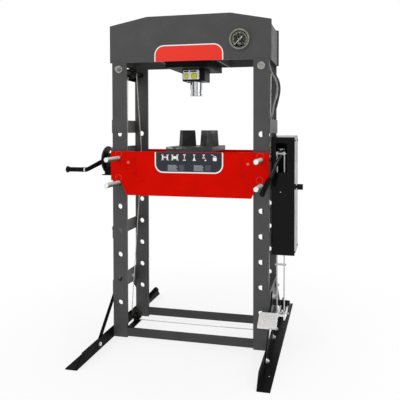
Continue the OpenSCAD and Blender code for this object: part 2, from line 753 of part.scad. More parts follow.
module cord(p, d, n) {
    m = len(p);
    polyhedron(
        points = [for (i = [0:m - 1]) each ring(p, i, d / 2, n)],
        faces = concat(
            [[for (k = [0:n - 1]) k]],
            [for (i = [0:m - 2], k = [0:n - 1]) [i * n + k, (i + 1) * n + k, (i + 1) * n + (k + 1) % n, i * n + (k + 1) % n]],
            [[for (k = [n - 1:-1:0]) (m - 1) * n + k]]),
        convexity = 6);
}

// a quarter round the drum, up, over the upper left pulley and down to the left lug
module cable_winch() color("#b9bab6") cord(concat(
    [for (p = arc([winch_y, winch_z], drum_r + cable_d / 2 + 0.6, -90, 0, 5)) [-cable_out, p[0], p[1]]],
    [[-cable_out, top_y, top_z - 24]],
    [for (p = arc([-col_x, top_z], rope_r, 180, 0, 10)) [p[0], top_y, p[1]]],
    [[-cable_in, top_y, top_z - 20], [-cable_in, lift_y - 2, lug_z + 60], [-cable_in, lift_y, lug_z + 30],
     [-cable_in, lift_y, lug_z + 2]]), cable_d, 8);

// from the left lug down, round both lower pulleys, up and over the upper right one to the right lug
module cable_tie() color("#b9bab6") cord(concat(
    [[-cable_in, lift_y, lug_z - 2], [-cable_in, lift_y, lug_z - 30], [-cable_in, lift_y - 3, lug_z - 60]],
    [[-cable_in, low_y, low_z + 20]],
    [for (p = arc([low_left_x, low_z], rope_r, 180, 270, 5)) [p[0], low_y, p[1]]],
    [for (p = arc([low_right_x, low_z], rope_r, 270, 360, 5)) [p[0], low_y, p[1]]],
    [[cable_out, low_y, low_z + 20], [cable_out, top_y, top_z - 24]],
    [for (p = arc([col_x, top_z], rope_r, 0, 180, 10)) [p[0], top_y, p[1]]],
    [[cable_in, top_y, top_z - 20], [cable_in, lift_y - 2, lug_z + 60], [cable_in, lift_y, lug_z + 30],
     [cable_in, lift_y, lug_z + 2]]), cable_d, 8);

// ---- pump ----

cover_x = plate_out;
cover_y = -107;
root_x = lever_x + 11;
slot_x = [lever_x - 26, lever_x + 34];
slot_z = [976, 1136];
knob_y = 21;
knob_z = 883;
valve_d = 14;
hose_d = 14;
gauge_hose_d = 11;
hose_end = [cover_x + cover_t, 30, 1108];
gauge_hose_end = [cover_x + cover_t, -20, 1080];

module pump_cover() color(black_paint) difference() {
    translate([cover_x, cover_y, cover_z]) cube([cover_w, cover_d, cover_h]);
    translate([cover_x + cover_t, cover_y + cover_t, cover_z - 1])
        cube([cover_w - 2 * cover_t, cover_d - 2 * cover_t, cover_h - cover_t + 1]);
    translate([slot_x[0], cover_y - 1, slot_z[0]]) cube([slot_x[1] - slot_x[0], cover_t + 2, slot_z[1] - slot_z[0]]);
    rod_x([cover_x + cover_w - cover_t - 1, knob_y, knob_z], valve_d + 4, cover_t + 2);
    rod_x(hose_end - [cover_t + 1, 0, 0], hose_d + 4, cover_t + 2);
    rod_x(gauge_hose_end - [cover_t + 1, 0, 0], gauge_hose_d + 4, cover_t + 2);
}

block_x = [cover_x + cover_t, cover_x + cover_w - cover_t - 12];
block_y = [-33, cover_y + cover_d - cover_t];
tank_y = -57;
tank_z = [cover_z + 30, 850];
ear_t = 8;
ear_gap = 18;
pivot_d = 14;

module pump_body() color("#303133") difference() {
    union() {
        translate([block_x[0], block_y[0], tank_z[1]]) cube([block_x[1] - block_x[0], block_y[1] - block_y[0], 270]);
        translate([block_x[0], tank_y, tank_z[0]]) cube([block_x[1] - block_x[0], block_y[1] - tank_y, tank_z[1] - tank_z[0]]);
        for (s = [-1, 1]) plate_yz(lever_x + s * (ear_gap + ear_t / 2) - ear_t / 2, ear_t) hull() {
            translate([pivot_y, pivot_z]) circle(r = 14);
            translate([block_y[0], pivot_z - 20]) square([10, 40]);
        }
        rod_x([lever_x - ear_gap - ear_t - 3, pivot_y, pivot_z], pivot_d, 2 * (ear_gap + ear_t) + 6);
    }
    rod_x([block_x[1] - 30, knob_y, knob_z], valve_d + 2 * run, 40);
}

// the lever's far end, seen from the pivot
lever_tip = [col_x + 32, -337, 880];
lever_root = [root_x, pivot_y, pivot_z];
lever_v = lever_tip - lever_root;
lever_len = norm(lever_v);
lever_az = atan2(lever_v[1], lever_v[0]);
lever_tilt = acos(lever_v[2] / lever_len);
grip_l = 122;
yoke_pin_d = 10;
beam_slot = [beam_r * cos(beam_dip) - 0.3, beam_r + 0.3];   // ends of the slot that the yoke pin slides in

module along_lever() translate(lever_root) rotate([0, lever_tilt, lever_az]) children();

module hand_lever() color("#2b2c2e") difference() {
    union() {
        rod_x([lever_x - ear_gap + 1, pivot_y, pivot_z], 34, 2 * ear_gap - 2);
        for (s = [-1, 1]) plate_yz(lever_x + s * (ear_gap - 6) - 3.5, 7) hull() {
            translate([pivot_y, pivot_z]) circle(r = 13);
            translate([yoke_y, yoke_z]) circle(r = 11);
        }
        along_lever() translate([0, 0, 10]) cylinder(d = lever_d, h = lever_len - 10 - grip_l + 100);
    }
    rod_x([lever_x - 30, pivot_y, pivot_z], pivot_d + 2 * run, 60);
    translate([lever_x - 30, pivot_y, pivot_z]) rotate([180 + beam_dip, 0, 0]) hull() for (r = beam_slot)
        rod_x([0, r, 0], yoke_pin_d + 1.6, 60);
}

module lever_grip() color("#111112") along_lever() translate([0, 0, lever_len - grip_l]) difference() {
    union() {
        cylinder(d1 = grip_d - 5, d2 = grip_d - 1, h = 8);
        translate([0, 0, 8]) cylinder(d = grip_d - 1, h = grip_l - 18);
        translate([0, 0, grip_l - 10]) cylinder(d = grip_d, h = 8);
        translate([0, 0, grip_l - 2]) cylinder(d1 = grip_d, d2 = grip_d - 5, h = 2);
    }
    translate([0, 0, -1]) cylinder(d = lever_d + 0.1, h = 103);
}

pedal_slot = [pedal_r * cos(pedal_dip) - 0.3, pedal_r + 0.3];
rod_eye_d = 24;

module pull_rods() color(zinc) {
    for (s = [-1, 1]) {
        translate([lever_x + s * rod_x, yoke_y, pedal_pin_z]) cylinder(d = rod_d - 0.4, h = yoke_z - pedal_pin_z);
        rod_x([lever_x + s * rod_x - rod_d / 2, yoke_y, yoke_z], rod_eye_d, rod_d);
        rod_x([lever_x + s * rod_x - rod_d / 2, yoke_y, pedal_pin_z], rod_eye_d, rod_d);
    }
    rod_x([lever_x - rod_x - 9, yoke_y, yoke_z], yoke_pin_d, 2 * rod_x + 18);
    rod_x([lever_x - rod_x - 9, yoke_y, pedal_pin_z], yoke_pin_d, arm_x[1] + rod_x + 24);
    rod_x([lever_x - rod_x - 12, yoke_y + 0.6, rod_tie_z], 11, 2 * rod_x + 24);
}

rod_tie_z = 464;
pedal_shaft_d = 20;
pedal_hub_d = 32;
arm_t = 6;
arm_x = [-10, 31];              // the pedal's arms, from the middle of the rods
tread_x = 412;
tread_back = [-197, 225];
tread_tilt = 30;
tread_t = 4;
tie_y = tread_back[0] + 2;

// arm of the pedal: a hub, a boss round the rods' pin and a tail up to the tread
module pedal_arm() {
    hull() {
        translate([pedal_y, pedal_z]) circle(d = pedal_hub_d - 2);
        translate([yoke_y, pedal_pin_z]) circle(r = 13);
    }
    hull() {
        translate([yoke_y, pedal_pin_z]) circle(r = 13);
        translate([tread_back[0], tread_back[1] - 30]) square([8, 26]);
    }
}

module pedal() color("#c6c9c8") difference() {
    union() {
        rod_x([lever_x - 14, pedal_y, pedal_z], pedal_hub_d, arm_x[1] + 18);
        for (x = arm_x) plate_yz(lever_x + x - arm_t / 2, arm_t) pedal_arm();
        translate([tread_x, tie_y, tread_back[1] - 12]) cube([lever_x + arm_x[1] + arm_t / 2 - tread_x, 5, 10]);
        translate([tread_x, tread_back[0], tread_back[1]]) rotate([tread_tilt, 0, 0]) {
            translate([0, -tread_l, -tread_t]) cube([tread_w, tread_l + 6, tread_t]);
            translate([0, -tread_l, -12]) cube([tread_w, 3, 11]);
            for (x = [0, tread_w - 4]) translate([x, -tread_l, -12]) cube([4, tread_l + 2, 11]);
        }
        plate_yz(lever_x + arm_x[0] - arm_t / 2, arm_t) polygon([
            [tie_y + 2, tread_back[1] - 32], [tie_y + 2, tread_back[1] - 5],
            [tread_back[0] - 62, tread_back[1] - 40], [tread_back[0] - 62, tread_back[1] - 46]]);
    }
    rod_x([lever_x - 40, pedal_y, pedal_z], pedal_shaft_d + 2 * run, 120);
    translate([lever_x - 20, pedal_y, pedal_z]) rotate([180 + pedal_dip, 0, 0]) hull() for (r = pedal_slot)
        rod_x([0, r, 0], yoke_pin_d + 1.6, 64);
}

// shaft bolted through the lower side plate; the pedal turns on it between two collars
module pedal_shaft() color(zinc) {
    rod_x([col_out - 16, pedal_y, pedal_z], pedal_shaft_d - 4, side_plate_t + 18);
    rod_x([plate_out, pedal_y, pedal_z], pedal_shaft_d, lever_x + arm_x[1] + 8 - plate_out);
    rod_x([plate_out, pedal_y, pedal_z], 34, lever_x - 14.5 - plate_out);
    rod_x([lever_x + arm_x[1] + 4.5, pedal_y, pedal_z], 30, 6);
    translate([col_out - 12, pedal_y, pedal_z]) rotate([0, 90, 0]) hex(26, 12);
}

module release_knob() color("#1a1a1b") {
    rod_x([block_x[1] - 26, knob_y, knob_z], valve_d, cover_x + cover_w + 8 - block_x[1] + 26);
    difference() {
        rod_x([cover_x + cover_w + 3, knob_y, knob_z], 33, 33);
        for (i = [0:11]) translate([cover_x + cover_w + 6, knob_y, knob_z]) rotate([i * 30, 0, 0])
            translate([0, 0, 18.2]) rotate([0, 90, 0]) cylinder(d = 6, h = 40, $fn = 16);
    }
}

// ---- hoses, held along their whole run ----

port_end = port_x + 20;
ram_hose_route = [
    [port_end - 4, 0, port_z], [port_end + 25, 0, port_z], [165, 8, port_z - 2], [300, 24, port_z - 30],
    [396, 30, port_z - 84], [430, 30, 1600], [443, 30, 1570], [457, 30, 1543], [470, 30, 1517],
    [483, 30, 1491], [490, 30, 1445], [481, 30, 1387], [463, 30, 1318], [450, 30, 1280], [446, 30, 1262],
    [445, 30, 1200], [445, 30, 1130], hose_end - [14, 0, 0], hose_end];
gauge_hose_route = [
    [gauge_x, gauge_face + 50, gauge_z], [gauge_x, gauge_face + 64, gauge_z],
    [gauge_x + 12, gauge_face + 84, gauge_z - 2], [gauge_x + 70, -40, gauge_z - 24], [426, -28, 1630],
    [441, -25, 1570], [454, -25, 1530], [466, -25, 1510], [477, -25, 1491], [484, -25, 1460], [485, -25, 1440],
    [475, -25, 1387], [465, -25, 1352], [459, -25, 1310], [451, -25, 1280], [449, -25, 1262],
    [447, -25, 1190], [449, -22, 1095], gauge_hose_end - [12, 0, 0], gauge_hose_end];

module hose_ram() color("#141414") cord(ram_hose_route, hose_d, 10);
module hose_gauge() color("#6b6d6c") cord(gauge_hose_route, gauge_hose_d, 8);

// ---- handle kept behind the left rear column ----

handle_y = web_y + 18;
handle_low = [-col_x - 32, handle_y, 42];
handle_top = [-col_in + 45, handle_y, 177];
handle_v = handle_top - handle_low;
handle_len = norm(handle_v);
handle_tilt = atan2(handle_v[0], handle_v[2]);

module stowed_handle() color("#121213") translate(handle_low) rotate([0, handle_tilt, 0]) {
    rotate_extrude() polygon([
        [0, 0], [10, 0], [10, handle_len - 108], [17, handle_len - 105], [17, handle_len - 5], [13, handle_len], [0, handle_len]]);
}

// clip on the column that holds the handle
module handle_clip() color(black_paint) difference() {
    translate([-col_x - 24, web_y, 56]) cube([34, handle_y - web_y + 8, 24]);
    translate(handle_low) rotate([0, handle_tilt, 0]) cylinder(d = 20 + 2 * touch, h = handle_len);
}

head_front_plate();
head_rear_plate();
head_end_plates();
head_stiffeners();
column_front_left();
column_front_right();
column_rear_left();
column_rear_right();
side_plates_left();
side_plates_right();
crossbars();
foot_left();
foot_right();
braces();
frame_bolts();
head_bolts();
carriage_plate();
guard();
cylinder_node();  // cylinder
ram();
ram_nose();
gauge_case();
gauge_dial();
gauge_needle();
gauge_glass();
bed_front_plate();
bed_rear_plate();
bed_spacers();
bed_screws();
cable_lugs();
arbor_plate();
v_block_left();
v_block_right();
pin_upper_left();
pin_upper_right();
pin_lower_left();
pin_lower_right();
winch_frame();
winch_drum();
winch_crank();
crank_grip();
pulley_top_left();
pulley_top_right();
pulley_low_left();
pulley_low_right();
pulley_brackets();
cable_winch();
cable_tie();
pump_cover();
pump_body();
hand_lever();
lever_grip();
pull_rods();
pedal();
pedal_shaft();
release_knob();
hose_ram();
hose_gauge();
stowed_handle();
handle_clip();
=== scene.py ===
"""Looks of the workshop press: finishes for every machined part, and the fine pieces that sit on them.

Metres, +Z up, +X to the right of the person at the press, -Y towards that person. Drawings of flat
prints are in millimetres, which MM turns into metres.
"""
import math

import bpy
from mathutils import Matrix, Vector


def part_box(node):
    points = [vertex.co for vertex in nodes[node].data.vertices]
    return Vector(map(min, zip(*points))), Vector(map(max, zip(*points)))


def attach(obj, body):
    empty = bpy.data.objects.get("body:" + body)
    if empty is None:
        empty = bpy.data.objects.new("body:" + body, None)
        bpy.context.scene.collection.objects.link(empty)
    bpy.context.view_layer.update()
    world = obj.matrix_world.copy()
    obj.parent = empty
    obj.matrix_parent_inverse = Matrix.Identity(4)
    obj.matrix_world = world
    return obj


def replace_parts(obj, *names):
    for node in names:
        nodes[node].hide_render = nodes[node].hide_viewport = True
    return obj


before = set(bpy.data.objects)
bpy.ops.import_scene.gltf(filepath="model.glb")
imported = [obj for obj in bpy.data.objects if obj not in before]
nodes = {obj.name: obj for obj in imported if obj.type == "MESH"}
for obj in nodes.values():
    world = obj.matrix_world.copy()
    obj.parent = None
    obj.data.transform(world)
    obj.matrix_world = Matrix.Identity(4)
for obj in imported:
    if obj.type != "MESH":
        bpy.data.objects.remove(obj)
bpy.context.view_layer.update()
MM = 0.001

# ---------------------------------------------------------------- camera


def add_camera():
    """The camera, a little higher than the bed and to the right of the press."""
    data = bpy.data.cameras.new("camera")
    data.sensor_width = 36
    data.lens = 41.767
    data.shift_x = -0.103
    data.shift_y = -0.15
    data.clip_end = 50
    camera = bpy.data.objects.new("camera", data)
    camera.location = (0.8188, -2.6424, 1.2113)
    camera.rotation_euler = (math.radians(88.709), 0, math.radians(11.714))
    bpy.context.scene.collection.objects.link(camera)
    bpy.context.scene.camera = camera


add_camera()

# ---------------------------------------------------------------- routes of the cables and hoses

COLUMN_X = 0.414              # middle of a column, and of the bolts and pulleys on it
COLUMN_FACE = 0.162           # outer faces of the columns, from the middle of the press
HEAD_BOLT_Z = 1.557           # the top pulleys turn on the head's bolts
TOP_PULLEY_Y = 0.014
LOW_PULLEY = (-0.066, 0.104)  # y and z
LUG = (0.078, 1.056)          # y and z of the lugs on the bed
WINCH = (-0.032, 1.028)       # y and z of the winch's shaft
DRUM_R = 31.1 * MM            # a cable's middle round the winch's drum
ROPE_R = 28.95 * MM           # a cable's middle round a pulley
CABLE_D = 5 * MM


def arc(centre, radius, first, last, steps):
    """Points on an arc, in degrees."""
    angles = [math.radians(first + (last - first) * i / steps) for i in range(steps + 1)]
    return [(centre[0] + radius * math.cos(a), centre[1] + radius * math.sin(a)) for a in angles]


cable_in = COLUMN_X - ROPE_R
cable_out = COLUMN_X + ROPE_R


def over_pulley(side, first, last):
    """The cable's bend over the top pulley on that side, between two angles in degrees."""
    return [(x, TOP_PULLEY_Y, z) for x, z in arc((side * COLUMN_X, HEAD_BOLT_Z), ROPE_R, first, last, 10)]


def down_to_lug(x):
    """A cable's fall from the top pulley to the lug on the bed under it."""
    y, z = LUG
    return [(x, TOP_PULLEY_Y, HEAD_BOLT_Z - 0.020), (x, y - 0.002, z + 0.060),
            (x, y, z + 0.030), (x, y, z + 0.002)]


def along_low_pulley(centre_x, first):
    """A quarter turn under a low pulley, from an angle in degrees on."""
    y, z = LOW_PULLEY
    return [(x, y, z) for x, z in arc((centre_x, z), ROPE_R, first, first + 90, 5)]


cable_winch_route = (
    [(-cable_out, y, z) for y, z in arc(WINCH, DRUM_R, -90, 0, 5)]
    + [(-cable_out, TOP_PULLEY_Y, HEAD_BOLT_Z - 0.024)]
    + over_pulley(-1, 180, 0)
    + down_to_lug(-cable_in))
cable_tie_route = (
    [(-cable_in, LUG[0], LUG[1] - 0.002), (-cable_in, LUG[0], LUG[1] - 0.030),
     (-cable_in, LUG[0] - 0.003, LUG[1] - 0.060), (-cable_in, LOW_PULLEY[0], LOW_PULLEY[1] + 0.020)]
    + along_low_pulley(-(cable_in - ROPE_R), 180)
    + along_low_pulley(COLUMN_X, 270)
    + [(cable_out, LOW_PULLEY[0], LOW_PULLEY[1] + 0.020), (cable_out, TOP_PULLEY_Y, HEAD_BOLT_Z - 0.024)]
    + over_pulley(1, 0, 180)
    + down_to_lug(cable_in))
ram_hose_route = [
    (0.091, 0, 1.744), (0.120, 0, 1.744), (0.165, 0.008, 1.742), (0.300, 0.024, 1.714), (0.396, 0.030, 1.660),
    (0.430, 0.030, 1.600), (0.443, 0.030, 1.570), (0.457, 0.030, 1.543), (0.470, 0.030, 1.517),
    (0.483, 0.030, 1.491), (0.490, 0.030, 1.445), (0.481, 0.030, 1.387), (0.463, 0.030, 1.318),
    (0.450, 0.030, 1.280), (0.446, 0.030, 1.262), (0.445, 0.030, 1.200), (0.445, 0.030, 1.160)]
gauge_hose_route = [
    (0.296, -0.112, 1.702), (0.296, -0.098, 1.702), (0.308, -0.078, 1.700), (0.366, -0.040, 1.678),
    (0.426, -0.028, 1.630), (0.441, -0.025, 1.570), (0.454, -0.025, 1.530), (0.466, -0.025, 1.510),
    (0.477, -0.025, 1.491), (0.484, -0.025, 1.460), (0.485, -0.025, 1.440), (0.475, -0.025, 1.387),
    (0.465, -0.025, 1.352), (0.459, -0.025, 1.310), (0.451, -0.025, 1.280), (0.449, -0.025, 1.262),
    (0.447, -0.025, 1.190), (0.448, -0.023, 1.130)]

# ---------------------------------------------------------------- meshes


def between(a, b, ta, tb, u):
    """The point at u on the line that is at a when u is ta and at b when u is tb."""
    return a * ((tb - u) / (tb - ta)) + b * ((u - ta) / (tb - ta))


def smooth_route(points, step):
    """A centripetal Catmull-Rom curve through the points, with a point about every step."""
    pts = [Vector(p) for p in points]
    pts = [pts[0] * 2 - pts[1]] + pts + [pts[-1] * 2 - pts[-2]]
    route = []
    for a, b, c, d in zip(pts, pts[1:], pts[2:], pts[3:]):
        tb = (b - a).length ** 0.5
        tc = tb + (c - b).length ** 0.5
        td = tc + (d - c).length ** 0.5
        count = max(1, int((c - b).length / step))
        for i in range(count):
            u = tb + (tc - tb) * i / count
            ab, bc, cd = between(a, b, 0, tb, u), between(b, c, tb, tc, u), between(c, d, tc, td, u)
            route.append(between(between(ab, bc, 0, tc, u), between(bc, cd, tb, td, u), tb, tc, u))
    route.append(pts[-2])
    return route


def frames_along(route):
    """A point, side and up vector at each point of a route, without twist."""
    result = []
    up = None
    for i, point in enumerate(route):
        tangent = (route[min(i + 1, len(route) - 1)] - route[max(i - 1, 0)]).normalized()
        if up is None:
            up = tangent.orthogonal().normalized()
        up = (up - tangent * up.dot(tangent)).normalized()
        result.append((point, tangent.cross(up), up))
    return result


def new_piece(name, mesh, material, body="frame"):
    """Links a mesh as a piece that rides on a body, with the given material."""
    piece = bpy.data.objects.new(name, mesh)
    bpy.context.scene.collection.objects.link(piece)
    mesh.materials.append(material)
    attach(piece, body)
    return piece


def mesh_from(name, verts, faces, smooth=False):
    """A mesh of these corners and faces."""
    mesh = bpy.data.meshes.new(name)
    mesh.from_pydata([tuple(v) for v in verts], [], faces)
    if smooth:
        mesh.shade_smooth()
    mesh.update()
    return mesh


def skin(rings, sides, capped=True):
    """The faces between rings of that many corners, with both ends closed where it is capped."""
    faces = []
    for i in range(rings - 1):
        for k in range(sides):
            after = (k + 1) % sides
            faces.append((i * sides + k, i * sides + after, (i + 1) * sides + after, (i + 1) * sides + k))
    if capped:
        faces.append(tuple(reversed(range(sides))))
        faces.append(tuple(range((rings - 1) * sides, rings * sides)))
    return faces


def swept(name, route, section, turn=0.0):
    """A closed section, as (side, up) pairs, swept along a route and turned by so many radians per metre."""
    verts = []
    travelled = 0.0
    before = route[0]
    for point, side, up in frames_along(route):
        travelled += (point - before).length
        before = point
        c, s = math.cos(turn * travelled), math.sin(turn * travelled)
        verts += [point + side * (a * c - b * s) + up * (a * s + b * c) for a, b in section]
    return mesh_from(name, verts, skin(len(route), len(section)), smooth=True)


def circle_section(radius, sides):
    """The round section of a hose or tube."""
    turns = [2 * math.pi * k / sides for k in range(sides)]
    return [(radius * math.cos(a), radius * math.sin(a)) for a in turns]


def strand_section(radius, strands, per_strand):
    """The outline of a wire rope: round strands side by side on a circle."""
    middle, own = radius * 0.66, radius * 0.34
    outline = []
    for s in range(strands):
        a = 2 * math.pi * s / strands
        for k in range(per_strand):
            b = a + math.radians(-80 + 160 * k / (per_strand - 1))
            outline.append((middle * math.cos(a) + own * math.cos(b),
                            middle * math.sin(a) + own * math.sin(b)))
    return outline


def turned(name, profile, place, axis, material, body="frame", sides=32):
    """A revolved profile of (radius, height) pairs in millimetres, with its heights along axis from place."""
    axis = Vector(axis).normalized()
    side = axis.orthogonal().normalized()
    up = axis.cross(side)
    place = Vector(place)
    verts = []
    for radius, height in profile:
        for k in range(sides):
            a = 2 * math.pi * (k + 0.5) / sides
            outward = side * math.cos(a) + up * math.sin(a)
            verts.append(place + axis * (height * MM) + outward * (radius * MM))
    mesh = mesh_from(name, verts, skin(len(profile), sides, capped=profile[0] != profile[-1]))
    if sides > 8:
        for face in mesh.polygons:
            face.use_smooth = len(face.vertices) == 4
        mesh.set_sharp_from_angle(angle=math.radians(30))
    return new_piece(name, mesh, material, body)


def washer(name, place, axis, outer, inner, thick, material):
    """A plain washer with rounded outer corners."""
    profile = [(inner, 0), (outer - 0.5, 0), (outer, 0.5), (outer, thick - 0.5), (outer - 0.5, thick),
               (inner, thick), (inner, 0)]
    return turned(name, profile, place, axis, material, sides=40)


def hex_head(name, place, axis, flats, height, material):
    """A chamfered hexagon head or nut with its seat at place."""
    corner = flats / math.sqrt(3)
    profile = [(corner, 0), (corner, height * 0.8), (corner * 0.84, height)]
    return turned(name, profile, place, axis, material, sides=6)


def film(name, outlines, y, material, thick=0.3, body="frame"):
    """Flat shapes of ink or vinyl that face the front: outlines in X and Z, in millimetres, on plane y."""
    verts, faces = [], []
    for outline in outlines:
        n, base = len(outline), len(verts)
        verts += [Vector((x * MM, y, z * MM)) for x, z in outline]
        verts += [Vector((x * MM, y - thick * MM, z * MM)) for x, z in outline]
        faces.append(tuple(base + n + k for k in range(n)))
        faces.append(tuple(base + k for k in reversed(range(n))))
        faces += [(base + k, base + (k + 1) % n, base + n + (k + 1) % n, base + n + k) for k in range(n)]
    return new_piece(name, mesh_from(name, verts, faces), material, body)


def block(x0, z0, x1, z1):
    """A printed rectangle."""
    return [(x0, z0), (x1, z0), (x1, z1), (x0, z1)]


def rounded_block(x0, z0, x1, z1, low, high, steps=10):
    """A rectangle with its two lower corners rounded to low and its two upper ones to high."""
    corners = (((x0 + low, z0 + low), low, 180), ((x1 - low, z0 + low), low, 270),
               ((x1 - high, z1 - high), high, 0), ((x0 + high, z1 - high), high, 90))
    return [p for centre, radius, start in corners for p in arc(centre, radius, start, start + 90, steps)]


def disc(x, z, radius, sides=24):
    """A printed spot."""
    return arc((x, z), radius, 0, 360 - 360 / sides, sides - 1)


def band(x, z, inner, outer, first, last, steps):
    """A curved band; angles in degrees, anticlockwise as seen from the front."""
    return arc((x, z), outer, first, last, steps) + list(reversed(arc((x, z), inner, first, last, steps)))


def weld_bead(name, first, last, width):
    """A fillet weld between two points: a round bead with the ripples of each pass."""
    first, last = Vector(first), Vector(last)
    count = max(6, int((last - first).length / (1.6 * MM)))
    route = [first.lerp(last, i / count) for i in range(count + 1)]
    sides = 8
    verts = []
    for i, (point, side, up) in enumerate(frames_along(route)):
        ripple = 0.84 + 0.16 * abs(math.sin(math.pi * i / 3.0)) if 0 < i < count else 0.45
        wander = 0.12 * math.sin(i * 0.37) + 0.08 * math.sin(i * 1.13)
        for k in range(sides):
            a = 2 * math.pi * k / sides
            outward = side * (math.cos(a) + wander) + up * math.sin(a)
            verts.append(point + outward * (width / 2 * MM * ripple))
    mesh = mesh_from(name, verts, skin(count + 1, sides), smooth=True)
    return new_piece(name, mesh, WELD_COAT)

# ---------------------------------------------------------------- finishes


def linear(code):
    """An sRGB hex colour as linear RGB with alpha."""
    parts = [int(code[i:i + 2], 16) / 255 for i in (1, 3, 5)]
    return [c / 12.92 if c <= 0.04045 else ((c + 0.055) / 1.055) ** 2.4 for c in parts] + [1.0]


def grey(value):
    """A level as a colour, for a ramp that drives roughness or a mask."""
    return [value, value, value, 1.0]


def add(tree, kind, inputs=None, stops=(), **settings):
    """Adds one node. Inputs join a socket to another's output or give it a value; stops colour a ramp."""
    node = tree.nodes.new(kind)
    for key, value in settings.items():
        setattr(node, key, value)
    for key, value in (inputs or {}).items():
        if isinstance(value, bpy.types.NodeSocket):
            tree.links.new(value, node.inputs[key])
        else:
            node.inputs[key].default_value = value
    for k, (place, colour) in enumerate(stops):
        element = node.color_ramp.elements[k] if k < 2 else node.color_ramp.elements.new(place)
        element.position = place
        element.color = colour
    return node


def finish(name, colour, roughness, metallic=0.0, **sockets):
    """A material with its shader's plain values set. Returns the material, its tree and its shader."""
    material = bpy.data.materials.new(name)
    material.use_nodes = True
    tree = material.node_tree
    shader = tree.nodes["Principled BSDF"]
    shader.inputs["Base Color"].default_value = linear(colour)
    shader.inputs["Metallic"].default_value = metallic
    shader.inputs["Roughness"].default_value = roughness
    for key, value in sockets.items():
        shader.inputs[key.replace("_", " ")].default_value = value
    material.diffuse_color = linear(colour)
    return material, tree, shader


def patches(tree, size_mm, detail, first, second, stretch=(1, 1, 1)):
    """Cloudy patches about size_mm across, that go from the first (level, colour) to the second."""
    place = add(tree, "ShaderNodeTexCoord").outputs["Object"]
    drawn = add(tree, "ShaderNodeMapping", {"Vector": place, "Scale": stretch}).outputs["Vector"]
    cloud = add(tree, "ShaderNodeTexNoise", {"Vector": drawn, "Scale": 1000 / size_mm, "Detail": detail})
    return add(tree, "ShaderNodeValToRGB", {"Fac": cloud.outputs["Fac"]}, (first, second)).outputs["Color"]


def grain(tree, shader, size_mm, detail, strength, height_mm, stretch=(1, 1, 1)):
    """The surface's own relief: grains about size_mm across and height_mm high, drawn out by stretch.

    Real blasting, plating and moulding leave grains of a tenth of a millimetre or so. They are drawn
    about a millimetre across here, so that they show.
    """
    place = add(tree, "ShaderNodeTexCoord").outputs["Object"]
    drawn = add(tree, "ShaderNodeMapping", {"Vector": place, "Scale": stretch}).outputs["Vector"]
    cloud = add(tree, "ShaderNodeTexNoise", {"Vector": drawn, "Scale": 1000 / size_mm, "Detail": detail})
    depths = {"Height": cloud.outputs["Fac"], "Strength": strength, "Distance": height_mm * MM}
    relief = add(tree, "ShaderNodeBump", depths)
    tree.links.new(relief.outputs["Normal"], shader.inputs["Normal"])


def powder_coat(name, colour, dust, roughness, peel_mm=1.6, depth=0.25, shine=0.3):
    """Baked powder coat on rolled steel: even colour, fine orange peel, faint dust and handling marks.

    Real orange peel is about half a millimetre across, and is drawn coarser here so that it shows.
    """
    material, tree, shader = finish(name, colour, roughness=roughness, Specular_IOR_Level=shine)
    dusty = patches(tree, 90, 5, (0.3, linear(colour)), (0.75, linear(dust)))
    gloss = patches(tree, 60, 6, (0.25, grey(roughness - 0.06)), (0.8, grey(roughness + 0.1)))
    tree.links.new(dusty, shader.inputs["Base Color"])
    tree.links.new(gloss, shader.inputs["Roughness"])
    grain(tree, shader, peel_mm, 2, depth, 0.1)
    return material


def zinc_plate(name, colour="#d4d7d7", warm="#c9c7bb", roughness=0.3, metallic=0.85):
    """Zinc plated steel: bright, faintly blue and yellow in patches, with a fine matt grain."""
    material, tree, shader = finish(name, colour, metallic=metallic, roughness=roughness)
    tint = patches(tree, 12, 4, (0.35, linear(colour)), (0.7, linear(warm)))
    gloss = patches(tree, 5, 5, (0.3, grey(roughness - 0.08)), (0.75, grey(roughness + 0.12)))
    tree.links.new(tint, shader.inputs["Base Color"])
    tree.links.new(gloss, shader.inputs["Roughness"])
    grain(tree, shader, 0.9, 3, 0.12, 0.05)
    return material


def drawn_bar(name):
    """Bright drawn bar that lies level, with painted light: lighter on top and darker under it, as light
    falls on each face.

    Its sawn ends face the front and carry a near-white painted reflection. Draw lines run along the bar.
    """
    material, tree, shader = finish(name, "#b3bfbd", metallic=0.15, roughness=0.28)
    normal = add(tree, "ShaderNodeNewGeometry").outputs["Normal"]
    facing = add(tree, "ShaderNodeSeparateXYZ", {"Vector": normal}).outputs
    upward = add(tree, "ShaderNodeMapRange", {"Value": facing["Z"], "From Min": -1, "From Max": 1})
    # painted highlight on top and painted shade underneath, set by how far each face turns up; the tones lean
    # green to offset red light bounced from the bed
    shaded_to_lit_tones = ((0.2, "#3c4a48"), (0.42, "#587370"), (0.6, "#9fc0bc"), (0.85, "#e6f3f1"))
    stops = [(level, linear(code)) for level, code in shaded_to_lit_tones]
    tone = add(tree, "ShaderNodeValToRGB", {"Fac": upward.outputs["Result"]}, stops)
    # the sawn ends facing the front get a near-white painted reflection
    end = add(tree, "ShaderNodeMath", {0: facing["Y"], 1: -0.9}, operation="LESS_THAN")
    tones = {0: end.outputs["Value"], 6: tone.outputs["Color"], 7: linear("#f2f5f4")}
    mix = add(tree, "ShaderNodeMix", tones, data_type="RGBA")
    tree.links.new(mix.outputs[2], shader.inputs["Base Color"])
    gloss = patches(tree, 5, 5, (0.3, grey(0.22)), (0.75, grey(0.4)), (1, 0.1, 1))
    tree.links.new(gloss, shader.inputs["Roughness"])
    grain(tree, shader, 0.9, 3, 0.12, 0.05)
    return material


